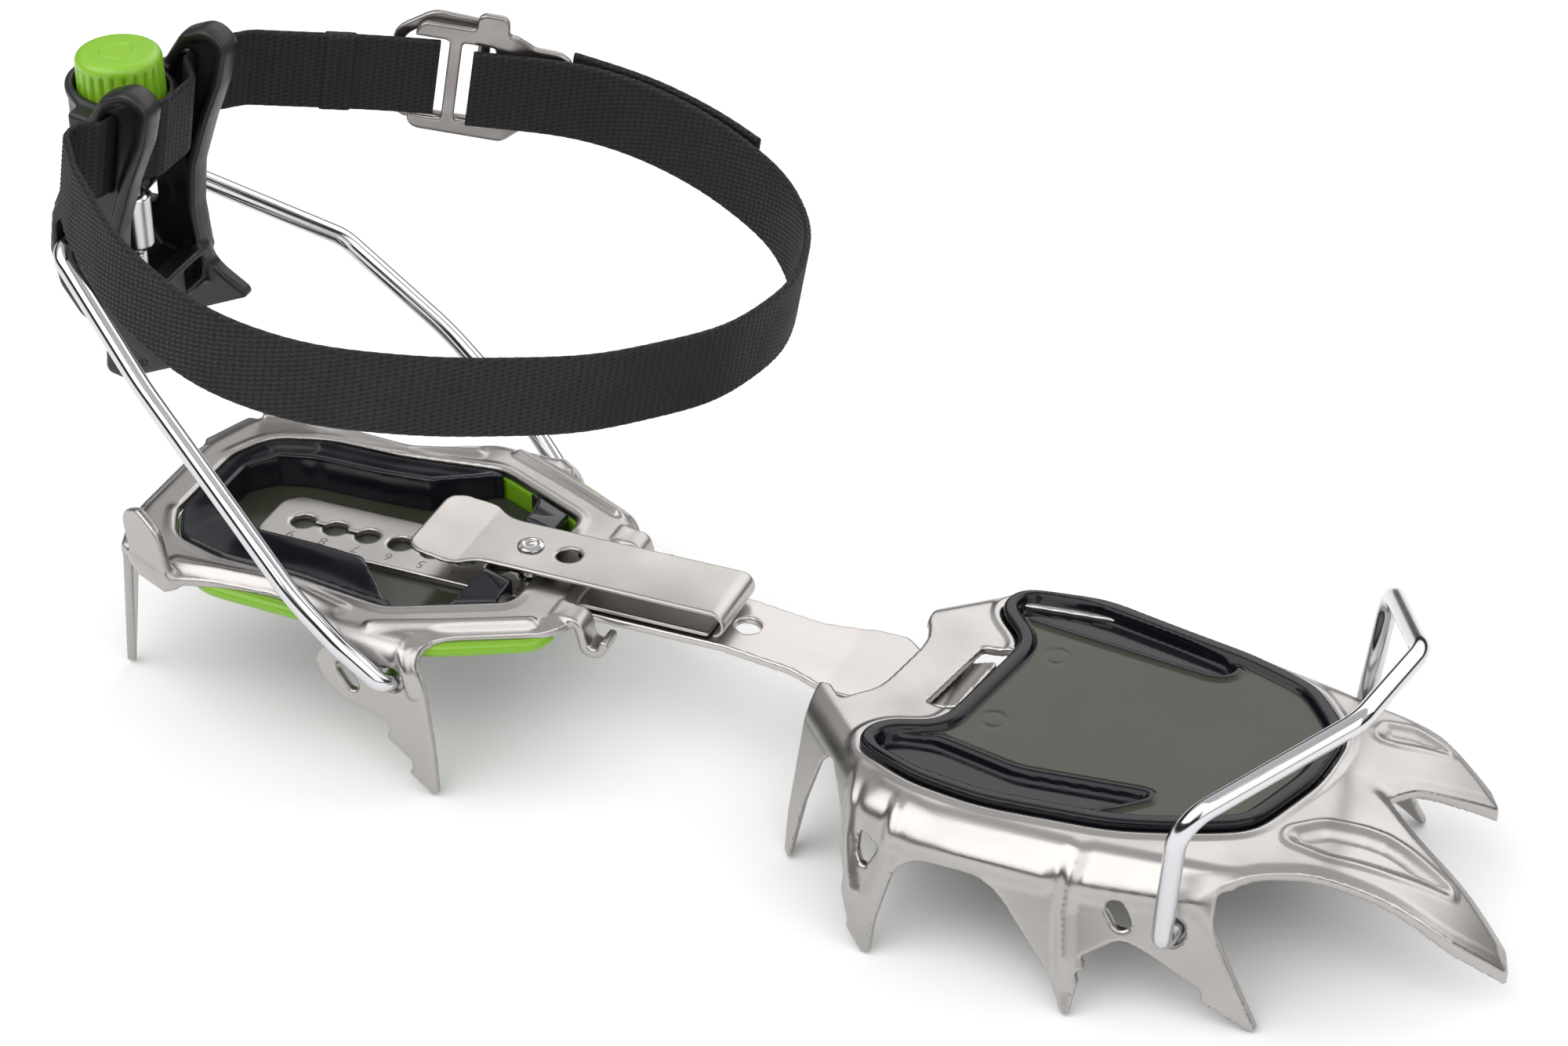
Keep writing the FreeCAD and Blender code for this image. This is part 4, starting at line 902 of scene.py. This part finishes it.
def adjuster(finish):
    place = Matrix.Translation(HUB + Vector((SCREW_X, 0, 0)))
    barrel = [
        (2.15, -9.0), (2.9, -9.0), (3.1, -8.9), (3.9, -8.0), (4.0, -7.7), (4.0, -7.3), (4.0, 3.8), (4.0, 4.2),
        (3.9, 4.5), (3.1, 5.3), (2.9, 5.4), (2.15, 5.4),
    ]
    turned("barrel_nut", barrel, finish.hardware, "carriage", "hardware_steel", ["bail_nut"], place)
    eye = [(2.35, -4.0), (2.9, -4.0), (3.3, -3.6), (3.3, 3.6), (2.9, 4.0), (2.35, 4.0)]
    eye_place = Matrix.Translation(HUB) @ rotation(-90, "X")
    turned("nut_eye", eye, finish.hardware, "carriage", "hardware_steel", (), eye_place)

    pitch, crest, root = 0.7, 2.0, 1.62
    low, high = -15.0, 25.0
    count = int((high - low) / pitch * 6)  # six rings to a turn

    def thread(share, height, angle):
        phase = (height / pitch - angle / (2 * math.pi)) % 1
        return (root + (crest - root) * (1 - abs(2 * phase - 1))) * share

    profile = [
        (0.7 + 0.3 * min(1.0, (i + 1) / 4, (count - i + 1) / 4), low + (high - low) * i / count)
        for i in range(count + 1)
    ]
    turned("screw_thread", profile, finish.hardware, "knob", "hardware_steel", ["adjust_screw"], place, sides=20,
           ripple=thread)

    flutes, foot, head, wide = 24, 24.0, 41.3, 10.2

    def flute(radius, height, angle):
        share = min(1.0, max(0.0, (height - foot - 1.6) / 0.8)) * min(1.0, max(0.0, (head - 2.2 - height) / 1.4))
        groove = max(0.0, -math.cos(angle * flutes)) ** 1.3
        return radius - (0.75 * groove * share if radius > 8 else 0)

    steps = 22
    profile = [(2.0, foot), (wide - 0.6, foot), (wide, foot + 0.6), (wide, foot + 1.6)]
    for k in range(1, steps + 1):
        profile.append((wide - 0.35 * k / steps, foot + 1.6 + (head - 2.0 - foot - 1.6) * k / steps))
    for k in range(1, 9):
        angle = math.pi / 2 * k / 8
        profile.append((wide - 0.35 - 1.9 * (1 - math.cos(angle)), head - 2.0 + 1.9 * math.sin(angle)))
    # The top carries a plain raised ring.
    profile += [(reach, head + rise) for reach, rise in (
        (7.2, -0.08), (4.4, -0.05), (4.1, 0.2), (3.4, 0.2), (3.1, -0.05), (0.5, -0.05),
    )]
    turned("fluted_knob", profile, finish.knob, "knob", "knob_lime", ["adjust_knob"], place, sides=240, ripple=flute)


# -------- heel lever

WING = [
    (4, 18, 2), (-3.6, 8, 4), (-5.2, -2, 4), (-3.6, -11, 4), (1.0, -18, 4), (7.0, -22, 3), (6.2, -32, 2),
    (11.0, -33, 3), (24.0, -27.2, 0.8), (23.4, -25.6, 0.8), (14.2, -19.5, 9), (12.9, -5, 8), (14.2, 6, 9),
    (18.6, 18.5, 12), (23.2, 29, 8), (25.6, 38.2, 4), (21.0, 43, 5), (13.5, 40.0, 4), (8.8, 33, 5), (5.5, 24),
]
STRAP_SLOT = [(10.3, 17.1, 1), (13.4, 16.6, 1), (16.8, 35.4, 1), (13.7, 35.9, 1)]
CLAW_POCKET = [(11.0, -29.8, 0.5), (18.6, -26.6, 0.5), (12.8, -23.2, 0.5)]


def heel_lever(finish):
    g, x, y, z = grid((-9, -22, -37), (29, 22, 46), PLATE_STEP)
    across = np.abs(y)
    whole = shape(x, z, WING)
    wings = round_both(both(whole, -shape(x, z, STRAP_SLOT)), np.abs(across - 17.5) - 2.0, 0.9)
    # A thicker ridge follows each wing's front edge, and a lug with stepped rings backs it at the wire.
    ridge = round_both(both(whole, -(whole + 2.6)), np.abs(across - 17.3) - 3.5, 1.0)
    ridge = both(ridge, 10.5 - x - 0.12 * z, -17 - z)
    lug = round_both(disc(x, z, 1.5, -2.0, 5.4), np.abs(across - 17.8) - 2.4, 0.7)
    ring = round_both(disc(x, z, 1.5, -2.0, 3.6), np.abs(across - 18.1) - 2.9, 0.6)
    body = blend_either(blend_either(wings, ridge, 0.8), blend_either(lug, ring, 0.3), 1.0)
    # The knob stands in a round cup that joins the wings.
    round_cup = disc(x, y, SCREW_X, 0.0, 12.1)
    cup_plan = blend_either(round_cup, both(np.abs(x - SCREW_X) - 4.0, across - 17), 3.0)
    cup_top = 32.4 - 0.16 * (x - SCREW_X)
    cup = round_both(cup_plan, both(z - cup_top, 19.0 - z), 1.2)
    lip = np.sqrt((round_cup + 1.0) ** 2 + (z - cup_top + 0.6) ** 2) - 1.5
    body = blend_either(body, blend_either(cup, lip, 1.0), 2.0)
    bridge = round_both(both(np.abs(x - 11.5) - 3.0, across - 17), np.abs(z + 19.5) - 4.5, 0.8)
    pockets = both(np.abs(across - 9.5) - 4.0, np.abs(z + 19.5) - 2.8, 10.5 - x)
    body = blend_either(body, both(bridge, -pockets), 2.0)
    # The wall behind the screw closes the lever's back between the wings.
    back = stroke(x, z, [(2.5, 21), (-2.6, 9), (-4.3, -2), (-2.4, -10.5), (1.8, -17.6), (10, -19.5)]) - 1.0
    body = blend_either(body, both(back, across - 17.5), 1.2)
    wire_slot = np.sqrt(x ** 2 + np.maximum(np.abs(z) - 3.7, 0) ** 2) - 2.75
    well = both(disc(x, y, SCREW_X, 0.0, 10.6), 23.6 - z)
    bore = disc(x, y, SCREW_X, 0.0, 2.3)
    field = round_both(both(body, -wire_slot), -either(well, bore), 0.5)
    field = both(field, -both(shape(x, z, CLAW_POCKET), 18.6 - across))
    solid("lever_nylon", g, field, finish.nylon, "lever", "lever_black", ["heel_lever"], Matrix.Translation(HUB))


# -------- ankle strap and buckle

LOOP = Matrix.Translation((-150.0, 0.0, 138.0)) @ rotation(10, "Y")  # the tilted plane that the strap lies in
LONG_RUN = [
    (48.7, 53.0, 0), (60, 58.6, 30), (71, 64.4, 20), (88, 66.2, 40), (108, 61.5, 40), (130, 50, 25),
    (143.5, 32.5, 16), (148.8, 10.5, 12), (143.5, -15.5, 16), (124, -43, 30), (98, -62.5, 40), (74, -74.5, 30),
    (50, -76.5, 40), (22, -63.5, 40), (0, -44, 25), (-10.5, -31, 6), (-3.6, -25.5, 3), (-3.4, -16.5, 3),
    (2.3, -9.5, 4), (2.3, 3.5, 4), (-3.4, 10.5, 3), (-3.6, 19.5, 3), (3, 29.5, 8), (28.5, 46.3, 20),
    (40.2, 52.8, 0),
]
TAIL_RUN = [(68, 67.6, 0), (88, 69.3, 40), (109, 64.3, 40), (119, 59.5, 0)]
WEB_WIDE, WEB_THICK = 20.0, 1.7
YARN_SINK = 0.30  # how far the gaps between the yarns lie under each face
YARN_LONG, YARN_WIDE, YARN_LIFT = 1.7, 1.2, 0.36
SEWN_FOLD = 0.7  # how much each face stands out over a sewn end
ALONG_STEP, ROWS_ACROSS = 0.36, 63


def relaxed(xs, ys, spread):
    """The line smoothed over spread samples, apart from its tight turns through the lever."""
    reach = int(3 * spread)
    weights = np.exp(-0.5 * (np.arange(-reach, reach + 1) / spread) ** 2)
    weights /= weights.sum()
    loose = ease(xs, 4, 24)
    made = []
    for values in (xs, ys):
        before = 2 * values[0] - values[reach:0:-1]
        after = 2 * values[-1] - values[-2:-reach - 2:-1]
        smooth = np.convolve(np.concatenate([before, values, after]), weights, "valid")
        made.append(values * (1 - loose) + smooth * loose)
    return made


def webbing(name, points, node, finish, sewn=()):
    """A flat strap on edge along its route, with its weave in the mesh and painted shade in the gaps between its
    yarns.
    """
    line = route([(x, y, 0, r) for x, y, r in points], step=0.5)
    lengths = np.concatenate([[0.0], np.cumsum([(b - a).length for a, b in zip(line, line[1:])])])
    total = lengths[-1]
    stations = np.linspace(0, total, int(total / ALONG_STEP) + 1)
    xs, ys = (np.interp(stations, lengths, [p[i] for p in line]) for i in (0, 1))
    # Away from the lever the strap's bends run into each other.
    xs, ys = relaxed(xs, ys, 7.0 / ALONG_STEP)
    window = np.ones(7) / 7
    tx, ty = (np.convolve(np.pad(np.gradient(values), 3, "edge"), window, "valid") for values in (xs, ys))
    size = np.hypot(tx, ty)
    nx, ny = -ty / size, tx / size
    # Where an end is folded back and sewn, the strap is thicker.
    from_end = total - stations
    fold = SEWN_FOLD * sum(ease(from_end, a, a + 0.4) * ease(from_end, b, b - 0.4) for a, b in sewn)
    across = np.linspace(-1, 1, ROWS_ACROSS)
    places, painted_gap_shade = [], []
    half = WEB_THICK / 2 - YARN_SINK
    for face in (1, -1):
        for w in (across if face > 0 else across[::-1]):
            height = w * WEB_WIDE / 2
            edge = 1 - max(0.0, abs(w) - 0.94) / 0.06 * 0.55
            column = np.floor(stations / YARN_LONG)
            along_yarn = stations / YARN_LONG - column - 0.5
            row = height / YARN_WIDE + 0.5 * (column % 2) + 0.9 * face * along_yarn
            off_yarn = row - np.floor(row) - 0.5
            height_of_yarn = (0.5 + 0.5 * np.cos(math.pi * along_yarn)) * np.cos(math.pi * off_yarn) ** 0.7
            # The lower a point lies between the yarns, the more painted shade it gets.
            painted_gap_shade.append(1 - height_of_yarn)
            lift = YARN_LIFT * height_of_yarn
            reach = face * (half * edge + lift * edge + fold)
            places.append(np.stack([xs + nx * reach, ys + ny * reach, np.full_like(xs, height)], axis=1))
    places = np.stack(places)
    loops, along = places.shape[:2]
    faces = []
    for i in range(loops):
        here, there = i * along, (i + 1) % loops * along
        faces += [(here + k, there + k, there + k + 1, here + k + 1) for k in range(along - 1)]
    faces.append(tuple(i * along for i in range(loops))[::-1])
    faces.append(tuple(i * along + along - 1 for i in range(loops)))
    piece = make_mesh(name, places.reshape(-1, 3), faces, finish, "lever", "webbing_black", [node], LOOP)
    second_tone(piece, np.concatenate(painted_gap_shade))
    builder = bmesh.new()
    builder.from_mesh(piece.data)
    bmesh.ops.recalc_face_normals(builder, faces=builder.faces)
    builder.to_mesh(piece.data)
    builder.free()


BUCKLE = LOOP @ Matrix.Translation((43.5, 54.2, 0)) @ rotation(20, "Z")


def buckle(finish):
    g, x, y, z = grid((-17, -3, -17), (31, 6, 21), 0.4)
    outer = shape(x, z, [
        (-9.6, -14.3, 3), (13.5, -14.5, 4), (19, -10.5, 3), (19, -7, 2), (9, -7), (9, 7), (27, 6, 1.5),
        (27.5, 8.8, 1.5), (24.5, 10.6, 1.5), (18.5, 10.8, 2), (14.2, 13.8, 2), (12.2, 14.4, 1), (11.8, 18.8, 2.2),
        (4.6, 18.9, 2.2), (4.2, 14.5, 1), (-8.4, 14.5, 2.5), (-9.6, 11.6, 2),
    ])
    gap = shape(x, z, [(-12, -10.6, 0.5), (-1.5, -10.6, 1), (-1.5, 10.6, 1), (-12, 10.6, 0.5)])
    slit = shape(x, z, [(1.5, -10.6, 1), (9.4, -10.6, 1), (9.4, 10.4, 1), (1.5, 10.4, 1)])
    bent = y - 1.9 * ease(x, 12, 19)
    plate = round_both(both(outer, -gap, -slit), np.abs(bent) - 0.9, 0.4)
    # A second loop behind carries the strap's sewn end.
    inside = shape(x, z, [
        (-12.4, -9, 3), (-9.5, -10.8, 3), (5, -10.8, 1), (5, 12.6, 1), (-6, 13.2, 5), (-12.4, 8.5, 5),
    ])
    loop = shape(
        x, z, [(-15, -10, 4), (-11, -13.4, 4), (8, -13.4, 1), (8, 15.6, 1), (-6, 16.4, 6), (-15, 10, 6)], inside)
    rear = round_both(loop, np.abs(y - 2.7) - 0.8, 0.5)
    lug = round_both(shape(x, z, [(5.2, 11.5), (8, 11.5), (8, 14.2), (5.2, 14.2)]), np.abs(y - 1.4) - 1.4, 0.2)
    solid("buckle_plate", g, either(plate, rear, lug), finish.buckle, "lever", "buckle_steel", ["buckle_frame"],
          BUCKLE)


# -------- everything together


def carried_over(finish):
    """CAD nodes whose shape is right get their finish in place."""
    for name in ("spring_rivets", "screw_clip"):
        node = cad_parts[name]
        node.data.materials.clear()
        node.data.materials.append(finish.hardware)


make_camera()
make_studio()
finishes = make_finishes()
for make in (
    toe_plate, toe_guard, toe_bail, heel_bail, centre_bar, heel_plate, heel_guard, lock_spring, adjuster, heel_lever,
):
    make(finishes)
webbing("ankle_webbing", LONG_RUN, "ankle_strap", finishes.webbing, sewn=[(19.5, 27.0)])
webbing("tail_webbing", TAIL_RUN, "strap_tail", finishes.webbing)
buckle(finishes)
carried_over(finishes)
